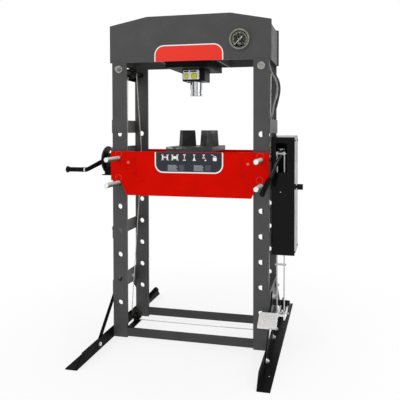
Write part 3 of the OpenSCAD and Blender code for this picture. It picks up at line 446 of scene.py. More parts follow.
def black_oxide(name, colour="#232425", roughness=0.4, marks="#2d2e2f"):
    """Black-oxide steel or iron: near black and half metallic, with milling lines and lighter rubs."""
    material, tree, shader = finish(name, colour, metallic=0.4, roughness=roughness)
    handled = patches(tree, 40, 5, (0.4, linear(colour)), (0.8, linear(marks)))
    gloss = patches(tree, 18, 5, (0.3, grey(roughness - 0.08)), (0.8, grey(roughness + 0.08)))
    tree.links.new(handled, shader.inputs["Base Color"])
    tree.links.new(gloss, shader.inputs["Roughness"])
    grain(tree, shader, 2.0, 3, 0.15, 0.06, (1, 12, 1))
    return material


def rub_edge_bare(material, above):
    """Rubs a black-oxide plate's upright faces to bare steel in patches, above a height and to the left."""
    tree = material.node_tree
    shader = tree.nodes["Principled BSDF"]
    oxide = shader.inputs["Base Color"].links[0].from_socket
    place = add(tree, "ShaderNodeTexCoord").outputs["Object"]
    spot = add(tree, "ShaderNodeSeparateXYZ", {"Vector": place}).outputs
    normal = add(tree, "ShaderNodeNewGeometry").outputs["Normal"]
    facing = add(tree, "ShaderNodeSeparateXYZ", {"Vector": normal}).outputs
    rubs = patches(tree, 14, 4, (0.44, grey(0)), (0.66, grey(1)))
    leftward = add(tree, "ShaderNodeMapRange", {"Value": spot["X"], "From Min": 0.0, "From Max": -0.08})
    high = add(tree, "ShaderNodeMath", {0: spot["Z"], 1: above}, operation="GREATER_THAN").outputs["Value"]
    upright = add(tree, "ShaderNodeMath", {0: facing["Z"], 1: 0.9}, operation="LESS_THAN").outputs["Value"]
    bare = leftward.outputs["Result"]
    for mask in (rubs, high, upright):
        bare = add(tree, "ShaderNodeMath", {0: bare, 1: mask}, operation="MULTIPLY").outputs["Value"]
    mix = add(tree, "ShaderNodeMix", {0: bare, 6: oxide, 7: linear("#b4b6b6")}, data_type="RGBA")
    tree.links.new(mix.outputs[2], shader.inputs["Base Color"])


def half_sprayed(name, limit, bare_in_front, shine, bright, dull, metallic):
    """A zinc plated weldment sprayed black on one side of the given y: bare metal there, dull paint here."""
    paint = "#0c0d0d"
    material, tree, shader = finish(name, paint, roughness=0.14, Specular_IOR_Level=shine)
    place = add(tree, "ShaderNodeTexCoord").outputs["Object"]
    spot = add(tree, "ShaderNodeSeparateXYZ", {"Vector": place}).outputs
    side = "LESS_THAN" if bare_in_front else "GREATER_THAN"
    bare = add(tree, "ShaderNodeMath", {0: spot["Y"], 1: limit}, operation=side).outputs["Value"]
    worn = patches(tree, 10, 5, (0.35, linear(bright)), (0.7, linear(dull)))
    mix = add(tree, "ShaderNodeMix", {0: bare, 6: linear(paint), 7: worn}, data_type="RGBA")
    tree.links.new(mix.outputs[2], shader.inputs["Base Color"])
    metal = add(tree, "ShaderNodeMath", {0: bare, 1: metallic}, operation="MULTIPLY")
    tree.links.new(metal.outputs["Value"], shader.inputs["Metallic"])
    grain(tree, shader, 1.4, 3, 0.15, 0.06)
    return material


def polished_chrome(name):
    """Hard chrome on a ground rod: a mirror with the faintest drawn lines round it."""
    material, tree, shader = finish(name, "#d9dbdc", metallic=1.0, roughness=0.09)
    gloss = patches(tree, 1.5, 2, (0.3, grey(0.06)), (0.8, grey(0.15)), (1, 1, 14))
    tree.links.new(gloss, shader.inputs["Roughness"])
    grain(tree, shader, 1.2, 2, 0.05, 0.02, (1, 1, 20))
    return material


def moulded(name, colour, rubbed, roughness, grain_mm=1.2, depth=0.3, shine=0.18):
    """Moulded rubber or plastic: matt, with a fine spark-eroded grain and rubbed lighter patches."""
    material, tree, shader = finish(name, colour, roughness=roughness, Specular_IOR_Level=shine)
    handled = patches(tree, 25, 4, (0.45, linear(colour)), (0.85, linear(rubbed)))
    tree.links.new(handled, shader.inputs["Base Color"])
    grain(tree, shader, grain_mm, 2, depth, 0.12)
    return material


def printed(name, colour, roughness=0.38):
    """Screen print on vinyl film or enamel: flat colour with a soft sheen and slightly uneven ink."""
    material, tree, shader = finish(name, colour, roughness=roughness, Specular_IOR_Level=0.25)
    gloss = patches(tree, 8, 3, (0.3, grey(roughness - 0.05)), (0.7, grey(roughness + 0.07)))
    tree.links.new(gloss, shader.inputs["Roughness"])
    return material


def wire_rope(name):
    """Galvanised wire rope: pale zinc crowns with duller grease between the strands."""
    material, tree, shader = finish(name, "#e4e6dc", metallic=0.2, roughness=0.42)
    grease = patches(tree, 3, 3, (0.3, linear("#c8cabf")), (0.7, linear("#f2f4ea")))
    tree.links.new(grease, shader.inputs["Base Color"])
    return material


def float_glass(name):
    """Clear float glass over the dial, with no tint of its own."""
    return finish(name, "#ffffff", roughness=0.02, Transmission_Weight=1.0, IOR=1.2)[0]


GREY_COAT = powder_coat("powder_coat_anthracite", "#434344", "#4a4a4b", 0.45)
# a lighter copy of the anthracite coat: painted light on the left side plates
LIT_GREY_COAT = powder_coat("powder_coat_anthracite_lit", "#686869", "#707071", 0.42, 2.2)
DARK_COAT = powder_coat("powder_coat_anthracite_dark", "#353536", "#3d3d3e", 0.45)
BLACK_COAT = powder_coat("powder_coat_black", "#070708", "#0d0d0e", 0.38, shine=0.1)
# a darker, duller copy of the black coat: painted shade on the carriage plate and the left foot, whose twin
# on the right keeps the plain black coat
SHADED_COAT = powder_coat("powder_coat_black_matt_shaded", "#050506", "#0a0a0b", 0.5, shine=0.05)
BOX_COAT = powder_coat("powder_coat_black_gloss", "#040405", "#080809", 0.15, depth=0.06, shine=0.13)
RED_COAT = powder_coat("powder_coat_red", "#d60c01", "#c80a01", 0.45, depth=0.18, shine=0.02)
WELD_COAT = powder_coat("powder_coat_on_weld", "#404041", "#4a4a4b", 0.4, 3.0, 0.6)
ZINC = zinc_plate("zinc_plate")
ROD_ZINC = zinc_plate("zinc_plate_on_rod", "#ced0d0", "#bcbeb9", 0.36, 0.4)
DULL_ZINC = zinc_plate("zinc_plate_dull", "#a7a99f", "#7b7d74", 0.3, 0.5)
# a paler, less metallic copy of the zinc: painted sheen on the frame bolts, the foot washers and the pedal's
# tread
SHEEN_ZINC = zinc_plate("zinc_plate_painted_sheen", "#ebecec", "#dfdfd9", 0.38, 0.4)
BEZEL = zinc_plate("stainless_bezel", "#8f948a", "#74786a", 0.22)
TURNED = drawn_bar("bright_drawn_steel")
BLACK_STEEL = black_oxide("black_oxide_steel")
DARK_IRON = black_oxide("black_oxide_cast_iron", "#111213", 0.5, "#232425")
# a lighter copy of the V-blocks' iron with lighter patches: painted light on the right V-block's face, while
# the left block keeps the dark iron
LIT_IRON = black_oxide("black_oxide_cast_iron_lit", "#484a4a", 0.45, "#767878")
GREASED_IRON = black_oxide("greased_cast_iron", "#2c2a26", 0.4, "#565147")
PLATE_STEEL = black_oxide("black_oxide_plate", "#292a2b", marks="#3a3b3c")
rub_edge_bare(PLATE_STEEL, above=1.103)
LEVER_STEEL = half_sprayed("painted_tube_zinc_yoke", -0.112, False, 0.5, "#c2c4c4", "#48494a", 1.0)
PEDAL_STEEL = half_sprayed("painted_arms_zinc_tread", -0.06, True, 0.12, "#f6f7f7", "#dcdedb", 0.2)
CHROME = polished_chrome("hard_chrome")
RUBBER = moulded("black_hose_rubber", "#262627", "#3c3c3d", 0.4, shine=0.5)
GREY_RUBBER = moulded("grey_hose_rubber", "#8b8d8e", "#9a9c9c", 0.5, shine=0.4)
GRIP = moulded("black_pvc_grip", "#040405", "#0c0c0d", 0.45, 2.0, 0.5, 0.08)
NAVY_GRIP = moulded("navy_black_pvc", "#05070d", "#0b0e16", 0.5, 2.0, 0.4, 0.1)
PHENOLIC = moulded("black_phenolic", "#0c0c0d", "#1a1a1b", 0.34)
ROPE = wire_rope("galvanised_wire_rope")
DIAL_BLACK = printed("dial_enamel_black", "#101214", 0.5)
DIAL_CREAM = printed("dial_print_cream", "#c3c1a0", 0.5)
DIAL_OLIVE = printed("dial_print_olive", "#77785c", 0.5)
DIAL_YELLOW = printed("dial_print_yellow", "#8f8b52", 0.5)
DIAL_GREEN = printed("dial_print_green", "#6f8455", 0.5)
NEEDLE_WHITE = printed("needle_paint_white", "#efefec", 0.4)
WHITE_PRINT = printed("label_print_white", "#f1f1ee")
RED_PRINT = printed("label_print_red", "#ea3020")
RING_PRINT = printed("pin_ring_print", "#dc6a5e")
SLATE_PRINT = printed("label_print_slate", "#2a2f37")
GREY_PRINT = printed("label_print_grey", "#8c9096")
DARK_PRINT = printed("label_print_dark_grey", "#5a5f66")
BLACK_PRINT = printed("label_print_black", "#1a1a1c")
LIME_PRINT = printed("label_print_lime", "#dfe02c")
OLIVE_PRINT = printed("label_print_olive", "#a9ab34")
GLASS = float_glass("float_glass")

CORNERS = ("front_left", "front_right", "rear_left", "rear_right")
COLUMNS = [f"column_{corner}" for corner in CORNERS]
HEAD_SHEETS = ["head_front_plate", "head_rear_plate", "head_end_plates", "head_stiffeners"]

FINISHES = {
    GREY_COAT: HEAD_SHEETS + COLUMNS + ["side_plates_right"],
    DARK_COAT: ["crossbars"],
    LIT_GREY_COAT: ["side_plates_left"],
    SHADED_COAT: ["carriage_plate", "foot_left"],
    BLACK_COAT: ["foot_right", "braces", "guard", "cylinder", "cable_lugs", "winch_frame", "winch_crank",
                 "pulley_brackets", "pump_body", "handle_clip"],
    BOX_COAT: ["pump_cover"],
    RED_COAT: ["bed_front_plate", "bed_rear_plate", "bed_spacers", "bed_screws"],
    DULL_ZINC: ["head_bolts"],
    SHEEN_ZINC: ["frame_bolts"],
    ROD_ZINC: ["pull_rods"],
    PEDAL_STEEL: ["pedal"],
    TURNED: ["pin_upper_left", "pin_upper_right", "pin_lower_left", "pin_lower_right"],
    LEVER_STEEL: ["hand_lever"],
    PLATE_STEEL: ["arbor_plate"],
    DARK_IRON: ["v_block_left"],
    LIT_IRON: ["v_block_right"],
    BLACK_STEEL: ["winch_drum", "pedal_shaft"],
    GREASED_IRON: ["pulley_top_left", "pulley_top_right", "pulley_low_left", "pulley_low_right"],
    CHROME: ["ram", "ram_nose"],
    BEZEL: ["gauge_case"],
    DIAL_BLACK: ["gauge_dial"],
    NEEDLE_WHITE: ["gauge_needle"],
    GLASS: ["gauge_glass"],
    PHENOLIC: ["release_knob"],
    GRIP: ["lever_grip", "crank_grip"],
    NAVY_GRIP: ["stowed_handle"],
}
for material, names in FINISHES.items():
    for name in names:
        nodes[name].data.materials.clear()
        nodes[name].data.materials.append(material)

# ---------------------------------------------------------------- edges

# width of the broken edge in millimetres: cut bar and plate, sheet metal, small turned and welded parts
SOFT_EDGES = {
    1.6: COLUMNS + ["arbor_plate", "v_block_left", "v_block_right", "carriage_plate", "guard"],
    1.0: HEAD_SHEETS + ["crossbars", "side_plates_left", "side_plates_right", "foot_left", "foot_right",
                        "braces", "pump_cover", "pedal", "winch_frame", "winch_crank", "pulley_brackets",
                        "cable_lugs", "handle_clip", "pump_body"],
    0.5: ["frame_bolts", "head_bolts", "winch_drum", "bed_screws", "release_knob", "hand_lever", "pull_rods",
          "gauge_case", "cylinder", "pedal_shaft"],
}


def soften(name, width):
    """Breaks the sharp edges of a machined or cut part, as deburring and paint do."""
    weld = nodes[name].modifiers.new("weld", "WELD")
    weld.merge_threshold = 0.01 * MM
    edges = nodes[name].modifiers.new("edges", "BEVEL")
    edges.width = width * MM
    edges.segments = 2
    edges.limit_method = "ANGLE"
    edges.angle_limit = math.radians(40)
    flat = nodes[name].modifiers.new("flat_faces", "WEIGHTED_NORMAL")
    flat.mode = "FACE_AREA"
    flat.weight = 100


for width, names in SOFT_EDGES.items():
    for name in names:
        soften(name, width)

# ---------------------------------------------------------------- cables and hoses

RAM_HOSE_D = 14
GAUGE_HOSE_D = 11
ROPE_FULLNESS = 1.15          # the strands' crowns stand a little proud of the cable's nominal size
TWIST = 2 * math.pi / (32 * MM)
COVER_SIDE = 0.4655           # the pump's ports open here, just inside its cover


def ferrule(name, place, axis, hose, length=26):
    """A crimped hose end: a sleeve with pressed rings, then a hexagon that turns into the fitting."""
    r = hose / 2
    profile = [(r + 0.4, 0), (r + 2, 1)]
    for groove in (6, 14):
        profile += [(r + 2, groove - 1), (r + 1.2, groove), (r + 1.2, groove + 2), (r + 2, groove + 3)]
    profile += [(r + 2, length - 1), (r, length)]
    turned(name, profile, place, axis, ZINC)
    end = Vector(place) + Vector(axis).normalized() * (length * MM)
    hex_head(name + "_hex", end, axis, hose + 5, 9, ZINC)


def elbow(name, start, corner, end, diameter):
    """A bent steel tube between a hose end and the port that it feeds."""
    start, corner, end = Vector(start), Vector(corner), Vector(end)
    a = corner.lerp(start, min(1, 0.016 / (start - corner).length))
    b = corner.lerp(end, min(1, 0.014 / (end - corner).length))
    bend = [a * (1 - t) ** 2 + corner * 2 * t * (1 - t) + b * t * t for t in [i / 8 for i in range(9)]]
    mesh = swept(name, [start] + bend + [end], circle_section(diameter / 2 * MM, 20))
    new_piece(name, mesh, ZINC)


def add_cords():
    """The two cables and two hoses, each in the place of its plain cord, with the fittings at their ends."""
    rope = strand_section(CABLE_D / 2 * ROPE_FULLNESS, strands=6, per_strand=4)
    for name, route in (("cable_winch", cable_winch_route), ("cable_tie", cable_tie_route)):
        mesh = swept(name + "_wire", smooth_route(route, 9 * MM), rope, turn=TWIST)
        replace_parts(new_piece(name + "_wire", mesh, ROPE), name)
    for name, route, size, material, slot in (
            ("hose_ram", ram_hose_route, RAM_HOSE_D, RUBBER, "black_rubber"),
            ("hose_gauge", gauge_hose_route, GAUGE_HOSE_D, GREY_RUBBER, "grey_rubber")):
        mesh = swept(name + "_skin", smooth_route(route, 6 * MM), circle_section(size / 2 * MM, 20))
        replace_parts(new_piece(name + "_skin", mesh, material), name)
    ferrule("hose_ram_ferrule_top", (0.130, 0.0015, 1.744), (-1, 0, 0), RAM_HOSE_D)
    ferrule("hose_ram_ferrule_low", (0.445, 0.030, 1.165), (0, 0, -1), RAM_HOSE_D)
    elbow("hose_ram_elbow", (0.445, 0.030, 1.133), (0.445, 0.030, 1.108), (COVER_SIDE, 0.030, 1.108), 12)
    ferrule("hose_gauge_ferrule_low", (0.448, -0.023, 1.138), (0, 0, -1), GAUGE_HOSE_D)
    elbow("hose_gauge_elbow", (0.448, -0.022, 1.106), (0.4485, -0.021, 1.080), (COVER_SIDE, -0.020, 1.080), 9)
    hex_head("gauge_hose_union", (0.296, -0.116, 1.702), (0, 1, 0), 17, 12, ZINC)


add_cords()

# ---------------------------------------------------------------- labels

HEAD_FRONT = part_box("head_front_plate")[0].y
BED_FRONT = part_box("bed_front_plate")[0].y
GUARD_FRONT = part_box("guard")[0].y
INK = 0.15                    # thickness of a printed layer, in millimetres
VINYL = 0.3                   # and of the film under it


def add_head_label():
    """The red plate on the head, left bare inside its white border."""
    border = rounded_block(-197, 1594.5, 204, 1686, 1, 56)
    plate = rounded_block(-191, 1594.5, 198, 1680, 1, 50)
    film("head_label_border", [border], HEAD_FRONT, WHITE_PRINT)
    film("head_label", [plate], HEAD_FRONT - VINYL * MM, RED_PRINT, INK)


def press_sign(x, z0, z1, bed):
    """The whole press from the front: two columns with their feet and heads, and the bed between them."""
    shapes = []
    for s in (-1, 1):
        column, foot = x + s * 14, x + s * 17
        shapes += [block(column - 4, z0, column + 4, z1), block(foot - 5, z0, foot + 5, z0 + 4),
                   block(foot - 5, z1 - 5, foot + 5, z1)]
    return shapes + [block(x - 12, z0 + bed[0], x + 12, z0 + bed[1])]


def bed_signs(z0, z1):
    """The six signs on the bed's label, from left to right: what is printed white, and what is red."""
    white = press_sign(-129, z0, z1, (14, 21)) + press_sign(-71, z0, z1, (9, 24))
    red = [[(-139, z0 + 8), (-129, z0 + 19), (-119, z0 + 8), (-129, z0 + 12)]]
    # a ram over a work piece
    white += [block(-23, z1 - 4, -7, z1), block(-17, z0 + 12, -13, z1 - 4), block(-23, z0, -7, z0 + 5)]
    red.append([(-21, z0 + 5), (-15, z0 + 14), (-9, z0 + 5)])
    # a ram on a bearing
    white += [block(36, z1 - 4, 48, z1), block(40, z0 + 16, 44, z1 - 4),
              [(32, z0), (52, z0), (48, z0 + 6), (45, z0 + 16), (39, z0 + 16), (36, z0 + 6)]]
    # a ram beside the middle of its work
    white += [block(90, z1 - 4, 104, z1), [(95, z0 + 16), (99, z0 + 16), (99, z1 - 4), (95, z1 - 4)],
              [(100, z0), (114, z0), (108, z0 + 8), (104, z0 + 8)],
              [(88, z0 + 14), (106, z0 + 14), (100, z0 + 21), (92, z0 + 21)]]
    red.append([(98, z0 + 3), (104, z0 + 14), (108, z0 + 10), (102, z0 + 1)])
    # an oil can with its spout
    white += [rounded_block(149, z0, 171, z0 + 20, 5, 3), band(160, z0 + 20, 5, 8, 10, 170, 12),
              band(141, z0 + 18, 15, 17.5, 40, 95, 10)]
    return white, red


def add_bed_label():
    """The slate label on the bed: a row of signs over two columns of lines too small to read."""
    border = rounded_block(-190, 968, 207, 1084, 48, 2)
    slate = rounded_block(-183, 975, 200, 1084, 42, 2)
    film("bed_label_border", [border], BED_FRONT, WHITE_PRINT)
    film("bed_label", [slate], BED_FRONT - VINYL * MM, SLATE_PRINT, INK)
    top = BED_FRONT - (VINYL + INK) * MM
    white, red = bed_signs(1038, 1073)
    film("bed_label_signs", white, top, WHITE_PRINT, INK)
    film("bed_label_marks", red, top, RED_PRINT, INK)
    light, dark = [], []
    for left in (-113, 39):
        for row in range(6):
            z = 1011 - row * 5.6
            light.append(block(left, z - 2, left + 50 + 4 * (row % 3), z + 2))
            dark.append(block(left + 66, z - 1.6, left + 99 - 5 * (row % 2), z + 1.6))
    film("bed_label_lines", light, top, GREY_PRINT, INK)
    film("bed_label_lines_faint", dark, top, DARK_PRINT, INK)


def add_guard_label():
    """The white label on the ram's guard, with plain lime shapes under two dark bars."""
    film("guard_label", [rounded_block(-62, 1503, 34, 1556, 2, 2)], GUARD_FRONT, WHITE_PRINT)
    top = GUARD_FRONT - VINYL * MM
    bars = [block(-59, 1545, -29, 1554), block(-20, 1545, 20, 1554)]
    rims = [rounded_block(-55, 1507, -31, 1540, 6, 11), rounded_block(-14, 1507, 22, 1540, 7, 17)]
    shapes = [rounded_block(-51, 1511, -35, 1535, 5, 7), rounded_block(-9, 1511, 17, 1535, 6, 12)]
    film("guard_label_bars", bars, top, BLACK_PRINT, INK)
    film("guard_label_rims", rims, top, OLIVE_PRINT, 0.12)
    film("guard_label_shapes", shapes, top - 0.12 * MM, LIME_PRINT, 0.1)


add_head_label()
add_bed_label()
add_guard_label()

# ---------------------------------------------------------------- gauge

GAUGE = (296, 1702)           # x and z of the dial's middle, in millimetres
DIAL_FRONT = -0.165
DIAL_FIRST = 225              # degrees, where the scale starts at nought
DIAL_SWEEP = 270


def dial_angle(share):
    """The angle of a share of the full scale, in radians."""
    return math.radians(DIAL_FIRST - DIAL_SWEEP * share)


def add_dial_prints():
    """The scale's marks and arc, and its two coloured bands."""
    x, z = GAUGE
    marks = []
    for i in range(61):
        long, half = i % 10 == 0, i % 5 == 0
        inner, outer, w = (33.5, 42.5, 0.75) if long else (36.5, 42.5, 0.5) if half else (39.0, 42.5, 0.3)
        a = dial_angle(i / 60)
        c, s = math.cos(a), math.sin(a)
        marks.append([(x + c * r - s * w * t, z + s * r + c * w * t)
                      for r, t in ((inner, -1), (outer, -1), (outer, 1), (inner, 1))])
    marks.append(band(x, z, 42.3, 43.0, -45, 225, 80))
    yellow, green = band(x, z, 35.2, 38.2, 0, 225, 60), band(x, z, 35.2, 38.2, -45, 0, 20)
    film("gauge_scale", marks, DIAL_FRONT, DIAL_CREAM, 0.12)
    film("gauge_arc_yellow", [yellow], DIAL_FRONT, DIAL_YELLOW, 0.08)
    film("gauge_arc_green", [green], DIAL_FRONT, DIAL_GREEN, 0.08)


def add_dial_numbers():
    """The numbers 0 to 600 inside the scale."""
    reach = 27.5
    for k in range(7):
        a = dial_angle(k / 6)
        x, z = GAUGE[0] + reach * math.cos(a), GAUGE[1] + reach * math.sin(a)
        text = bpy.data.curves.new(f"gauge_number_{k}", "FONT")
        text.body = str(k * 100)
        text.size = 6.4 * MM
        text.align_x = "CENTER"
        text.align_y = "CENTER"
        text.extrude = 0.05 * MM
        text.resolution_u = 3
        text.materials.append(DIAL_OLIVE)
        number = bpy.data.objects.new(f"gauge_number_{k}", text)
        number.location = (x * MM, DIAL_FRONT - 0.06 * MM, z * MM)
        number.rotation_euler = (math.radians(90), 0, 0)
        bpy.context.scene.collection.objects.link(number)
        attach(number, "frame")


def add_pointer():
    """The needle at nought: a tapered blade with a round tail, under its hub."""
    x, z = GAUGE
    c, s = math.cos(dial_angle(0)), math.sin(dial_angle(0))
    outline = ((-15, -2.4), (0, -2.0), (39, -0.9), (41.5, 0), (39, 0.9), (0, 2.0), (-15, 2.4))
    blade = [(x + c * r - s * w, z + s * r + c * w) for r, w in outline]
    shapes = [blade, disc(x - c * 15, z - s * 15, 4.4), disc(x, z, 5.2)]
    needle = film("gauge_pointer", shapes, -0.1667, NEEDLE_WHITE, 0.9, "needle")
    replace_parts(needle, "gauge_needle")
    hub = [(3.4, 0), (3.4, 1.2), (2.6, 2.0), (1.0, 2.4)]
    turned("gauge_hub", hub, (x * MM, -0.1676, z * MM), (0, -1, 0), BEZEL, "needle", 24)


def add_bezel_lip():
    """The rolled lip of the gauge's bezel."""
    x, z = GAUGE
    profile = [(47.2, 0), (49.5, 0), (50.4, 1.6), (51.4, 2.4), (52.6, 1.6), (52.6, 0.2), (47.2, 0)]
    turned("gauge_bezel_lip", profile, (x * MM, -0.1756, z * MM), (0, -1, 0), BEZEL, sides=96)


def add_dial_bars():
    """Two plain bars where a dial's unit stands."""
    x, z = GAUGE
    bars = [block(x - 9, z - 22, x + 9, z - 19), block(x - 6, z - 27, x + 6, z - 25)]
    film("gauge_name_bar", bars, DIAL_FRONT, DIAL_CREAM, 0.08)


add_dial_prints()
add_dial_numbers()
add_dial_bars()
add_pointer()
add_bezel_lip()

# ---------------------------------------------------------------- small fittings

SIDES = (("left", -1), ("right", 1))
FACES = (("front", -1), ("rear", 1))


def add_washers():
    """Washers under the nuts on the head and the bolts of the feet and braces."""
    for side, s in SIDES:
        for face, t in FACES:
            seat = (s * COLUMN_X, t * COLUMN_FACE, HEAD_BOLT_Z)
            washer(f"head_washer_{face}_{side}", seat, (0, t, 0), 20.5, 10.3, 3, ZINC)
    brace_seat, foot_seat = 0.469, 0.463
    bolts = ((-0.092, 0.286, brace_seat), (0.092, 0.286, brace_seat), (-0.326, 0.033, brace_seat),
             (0.326, 0.033, brace_seat), (-0.029, 0.024, foot_seat), (0.084, 0.024, foot_seat))
    for side, s in SIDES:
        for k, (y, z, seat) in enumerate(bolts):
            # the foot washers take the paler zinc with its painted sheen
            washer(f"foot_washer_{side}_{k}", (s * seat, y, z), (s, 0, 0), 13.5, 6.2, 2.4, SHEEN_ZINC)


def add_bed_fittings():
    """On the bed: printed rings over the pins, two fixing screws and dark hexagons as painted shade in the
    sockets of the other four.
    """
    for name, x, z in (("upper_left", -411, 1071), ("upper_right", 412, 1068),
                       ("lower_left", -413, 934), ("lower_right", 409, 937)):
        film(f"pin_ring_{name}", [band(x, z, 17.7, 18.6, 0, 356, 60)], BED_FRONT, RING_PRINT)
    dome = [(8.0, 0), (8.0, 1.2), (6.4, 3.2), (3.0, 4.0), (0.6, 4.1)]
    for side, x in (("left", -0.351), ("right", 0.345)):
        seat = (x, BED_FRONT, 1.024)
        turned(f"bed_fixing_{side}", dome, seat, (0, -1, 0), RING_PRINT, sides=28)
    # dark hexagons in front of four screws: painted shade in their sockets
    sockets = [disc(x, z, 4.2, 6) for x in (-312, 312) for z in (1046, 958)]
    film("bed_screw_socket_shade", sockets, -0.180, BLACK_PRINT, 0.2)


def add_frame_fittings():
    """Bolts on a pulley's bracket and a side plate, and a dark rubber disc behind a hole of the left column,
    painted shade inside the hole.
    """
    for k, (y, z) in enumerate(((-0.082, 0.104), (-0.078, 0.078))):
        hex_head(f"bracket_bolt_{k}", (-0.356, y, z), (0, -1, 0), 16, 7, BLACK_STEEL)
    plate_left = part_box("side_plates_left")[0].x
    hex_head("mid_plate_bolt", (plate_left, -0.140, 0.631), (-1, 0, 0), 17, 8, BLACK_COAT)
    # a dark disc behind the hole of the left column: painted shade inside the column
    hole_shade = [(16.0, 0), (16.0, 2.6), (13.5, 4.0), (4.0, 4.4), (0.5, 4.4)]
    turned("column_hole_shade", hole_shade, (-0.4075, -0.146, 0.340), (0, 1, 0), RUBBER, sides=40)


def add_cover_fittings():
    """On the pump's cover: its front fixing, four side screws and a folded lid that rises to the back."""
    low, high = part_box("pump_cover")
    head = 4
    hex_head("cover_bolt", (0.514, low.y, 0.868), (0, -1, 0), 10, head, BLACK_STEEL)
    tip = [(2.6, 0), (2.6, 2.4), (2.0, 3.0), (0.4, 3.0)]
    seat = (0.514, low.y - head * MM, 0.868)
    turned("cover_bolt_end", tip, seat, (0, -1, 0), ZINC, sides=20)
    screw = [(5.0, 0), (5.0, 0.8), (4.0, 2.2), (2.0, 2.8), (0.4, 2.9)]
    for k, (y, z) in enumerate(((-0.085, 1.150), (0.080, 1.150), (-0.085, 0.535), (0.080, 0.535))):
        seat = (high.x, y, z)
        turned(f"cover_screw_{k}", screw, seat, (1, 0, 0), BLACK_COAT, sides=24)
    rim, rise = 1.2 * MM, 9 * MM
    verts = []
    for inset, front, back in ((1 * MM, 0, 0), (2 * MM, rim, rise)):
        x0, y0, x1, y1 = low.x + inset, low.y + inset, high.x - inset, high.y - inset
        verts += [(x0, y0, high.z + front), (x1, y0, high.z + front)]
        verts += [(x1, y1, high.z + back), (x0, y1, high.z + back)]
    faces = [(3, 2, 1, 0), (4, 5, 6, 7), (0, 1, 5, 4), (1, 2, 6, 5), (2, 3, 7, 6), (3, 0, 4, 7)]
    new_piece("cover_lid", mesh_from("cover_lid", verts, faces), BOX_COAT)


def add_winch_fittings():
    """Discs pressed into three of the winch gear's four windows, and a ring behind the crank's grip."""
    y, z = WINCH
    gear_face, window = -0.549, 0.0313
    cap = [(25.8, 0), (25.8, 0.8), (24.6, 1.6), (8.0, 2.2), (0.5, 2.2)]
    for k, (s, t) in enumerate(((-1, 1), (-1, -1), (1, -1))):
        seat = (gear_face, y + s * window, z + t * window)
        turned(f"gear_cap_{k}", cap, seat, (1, 0, 0), BLACK_COAT, "crank", 40)
    crank_r, dip = 0.227, math.radians(11)
    grip_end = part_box("crank_grip")[1].x + 0.4 * MM
    ring = [(12.1, 0), (14.2, 0), (14.8, 0.8), (14.8, 7.6), (14.2, 8.4), (12.1, 8.4), (12.1, 0)]
    seat = (grip_end, y - crank_r * math.cos(dip), z - crank_r * math.sin(dip))
    turned("crank_collar", ring, seat, (1, 0, 0), ZINC, "crank", 40)


add_washers()
add_bed_fittings()
add_frame_fittings()
add_cover_fittings()
add_winch_fittings()


def add_welds():
    """Beads where the side plates, crossbars and feet meet the columns."""
    plate_spans = {"left": ((1.190, 1.268), (0.936, 1.110), (0.577, 0.650), (0.255, 0.332)),
                   "right": ((1.190, 1.268), (0.960, 1.036), (0.577, 0.650), (0.183, 0.332))}
    for side, s in SIDES:
        x = s * 0.4575
        for k, (low, high) in enumerate(plate_spans[side]):
            for face, t in FACES:
                y = t * 0.1585
                weld_bead(f"plate_weld_{side}_{k}_{face}", (x, y, low + 0.004), (x, y, high - 0.004), 6)
    for side, s in SIDES:
        x = s * 0.3712
        for face, t in FACES:
            y = t * 0.154
            weld_bead(f"crossbar_weld_{side}_{face}", (x, y, 0.014), (x, y, 0.060), 5)
            weld_bead(f"crossbar_weld_top_{side}_{face}", (x, t * 0.160, 0.0625), (x, t * 0.148, 0.0625), 5)
    for side, s in SIDES:
        for face, t in FACES:
            x, y = s * 0.457, t * 0.154
            weld_bead(f"foot_weld_{side}_{face}", (x, y - 0.007, 0.0655), (x, y + 0.007, 0.0655), 5)


add_welds()


def add_tread():
    """Raised lozenges on the pedal's tread, in the slope of the plate."""
    slope = math.radians(30)
    back_edge = Vector((0, -0.197, 0.225))
    along = Vector((0, -math.cos(slope), -math.sin(slope)))
    up = Vector((0, -math.sin(slope), math.cos(slope)))
    ring = [(4.6, 0.0), (0.0, 1.5), (-4.6, 0.0), (0.0, -1.5)]
    verts, faces = [], []
    for row in range(9):
        for col in range(9):
            x = 0.418 + col * 0.011
            travel = 0.006 + row * 0.0095
            turn = math.radians(45 if (row + col) % 2 else -45)
            c, s = math.cos(turn), math.sin(turn)
            base = len(verts)
            for level, scale in ((0.0, 1.0), (0.7, 0.55)):
                for a, b in ring:
                    across = Vector((x + (a * c - b * s) * scale * MM, 0, 0))
                    forward = along * (travel + (a * s + b * c) * scale * MM)
                    verts.append(back_edge + across + forward + up * (level * MM))
            faces += [(base + 3, base + 2, base + 1, base), (base + 4, base + 5, base + 6, base + 7)]
            faces += [(base + k, base + (k + 1) % 4, base + 4 + (k + 1) % 4, base + 4 + k) for k in range(4)]
    mesh = mesh_from("pedal_tread_pattern", verts, faces)
    # the lozenges take the paler zinc with its painted sheen
    new_piece("pedal_tread_pattern", mesh, SHEEN_ZINC, "pedal")


add_tread()

# ---------------------------------------------------------------- light, floor and background


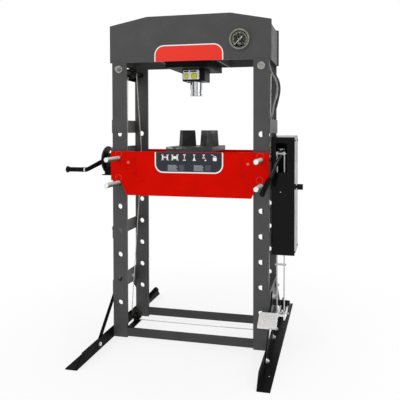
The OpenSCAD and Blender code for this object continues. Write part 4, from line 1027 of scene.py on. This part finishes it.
def add_room():
    """The room: white to the eye, with dark gaps between its soft walls that bright metal shows as bands."""
    world = bpy.data.worlds.new("studio")
    bpy.context.scene.world = world
    world.use_nodes = True
    tree = world.node_tree
    path = add(tree, "ShaderNodeLightPath").outputs
    way = add(tree, "ShaderNodeTexCoord").outputs["Generated"]
    way = add(tree, "ShaderNodeSeparateXYZ", {"Vector": way}).outputs
    bearing = add(tree, "ShaderNodeMath", {0: way["X"], 1: way["Y"]}, operation="ARCTAN2").outputs["Value"]
    turn = add(tree, "ShaderNodeMapRange", {"Value": bearing, "From Min": -math.pi, "From Max": math.pi})
    levels = ((0.00, 0.9), (0.05, 0.9), (0.09, 0.06), (0.14, 0.06), (0.18, 0.95), (0.30, 0.95), (0.36, 0.5),
              (0.50, 0.9), (0.62, 0.95), (0.68, 0.12), (0.74, 0.12), (0.80, 0.9), (0.90, 0.55), (1.00, 0.9))
    stops = [(at, grey(level)) for at, level in levels]
    walls = add(tree, "ShaderNodeValToRGB", {"Fac": turn.outputs["Result"]}, stops)
    tones = {0: path["Is Glossy Ray"], 6: grey(0.72), 7: walls.outputs["Color"]}
    room = add(tree, "ShaderNodeMix", tones, data_type="RGBA").outputs[2]
    rays = {0: path["Is Camera Ray"], 1: path["Is Transmission Ray"]}
    seen = add(tree, "ShaderNodeMath", rays, operation="MAXIMUM").outputs["Value"]
    shown = {0: seen, 6: room, 7: grey(1.0)}
    white = add(tree, "ShaderNodeMix", shown, data_type="RGBA").outputs[2]
    tree.links.new(white, tree.nodes["Background"].inputs["Color"])


def add_floor():
    """A sheet of pale paper: its own shade near the press fades into the white room behind it."""
    bpy.ops.mesh.primitive_plane_add(size=30, location=(0, 0, 0))
    floor = bpy.context.object
    floor.name = "floor"
    paper, tree, shader = finish("floor_paper", "#f7f7f7", roughness=0.9, Specular_IOR_Level=0.1)
    floor.data.materials.append(paper)
    place = add(tree, "ShaderNodeTexCoord").outputs["Object"]
    away = add(tree, "ShaderNodeVectorMath", {0: place}, operation="LENGTH").outputs["Value"]
    fade = add(tree, "ShaderNodeMapRange", {"Value": away, "From Min": 0.7, "From Max": 1.6, "To Min": 0.78})
    glow = add(tree, "ShaderNodeEmission", {"Color": grey(1.0), "Strength": 1.0})
    layers = {0: fade.outputs["Result"], 1: shader.outputs["BSDF"], 2: glow.outputs["Emission"]}
    both = add(tree, "ShaderNodeMixShader", layers)
    tree.links.new(both.outputs["Shader"], tree.nodes["Material Output"].inputs["Surface"])


def add_lamps():
    """Three soft lamps: one from the front left, a weaker one from the right and one overhead."""
    for name, place, size, power, aim in (
            ("key", (-2.4, -3.2, 3.2), 2.4, 26, (0, 0, 0.9)),
            ("side", (3.4, -1.2, 2.6), 2.2, 20, (0.3, 0, 1.0)),
            ("top", (0.2, 0.4, 4.2), 2.6, 34, (0, 0, 1.0))):
        data = bpy.data.lights.new(name, "AREA")
        data.size = size
        data.energy = power
        lamp = bpy.data.objects.new(name, data)
        lamp.location = place
        lamp.rotation_euler = (Vector(aim) - Vector(place)).to_track_quat("-Z", "Y").to_euler()
        bpy.context.scene.collection.objects.link(lamp)


add_room()
add_floor()
add_lamps()

bpy.context.scene.view_settings.view_transform = "Standard"
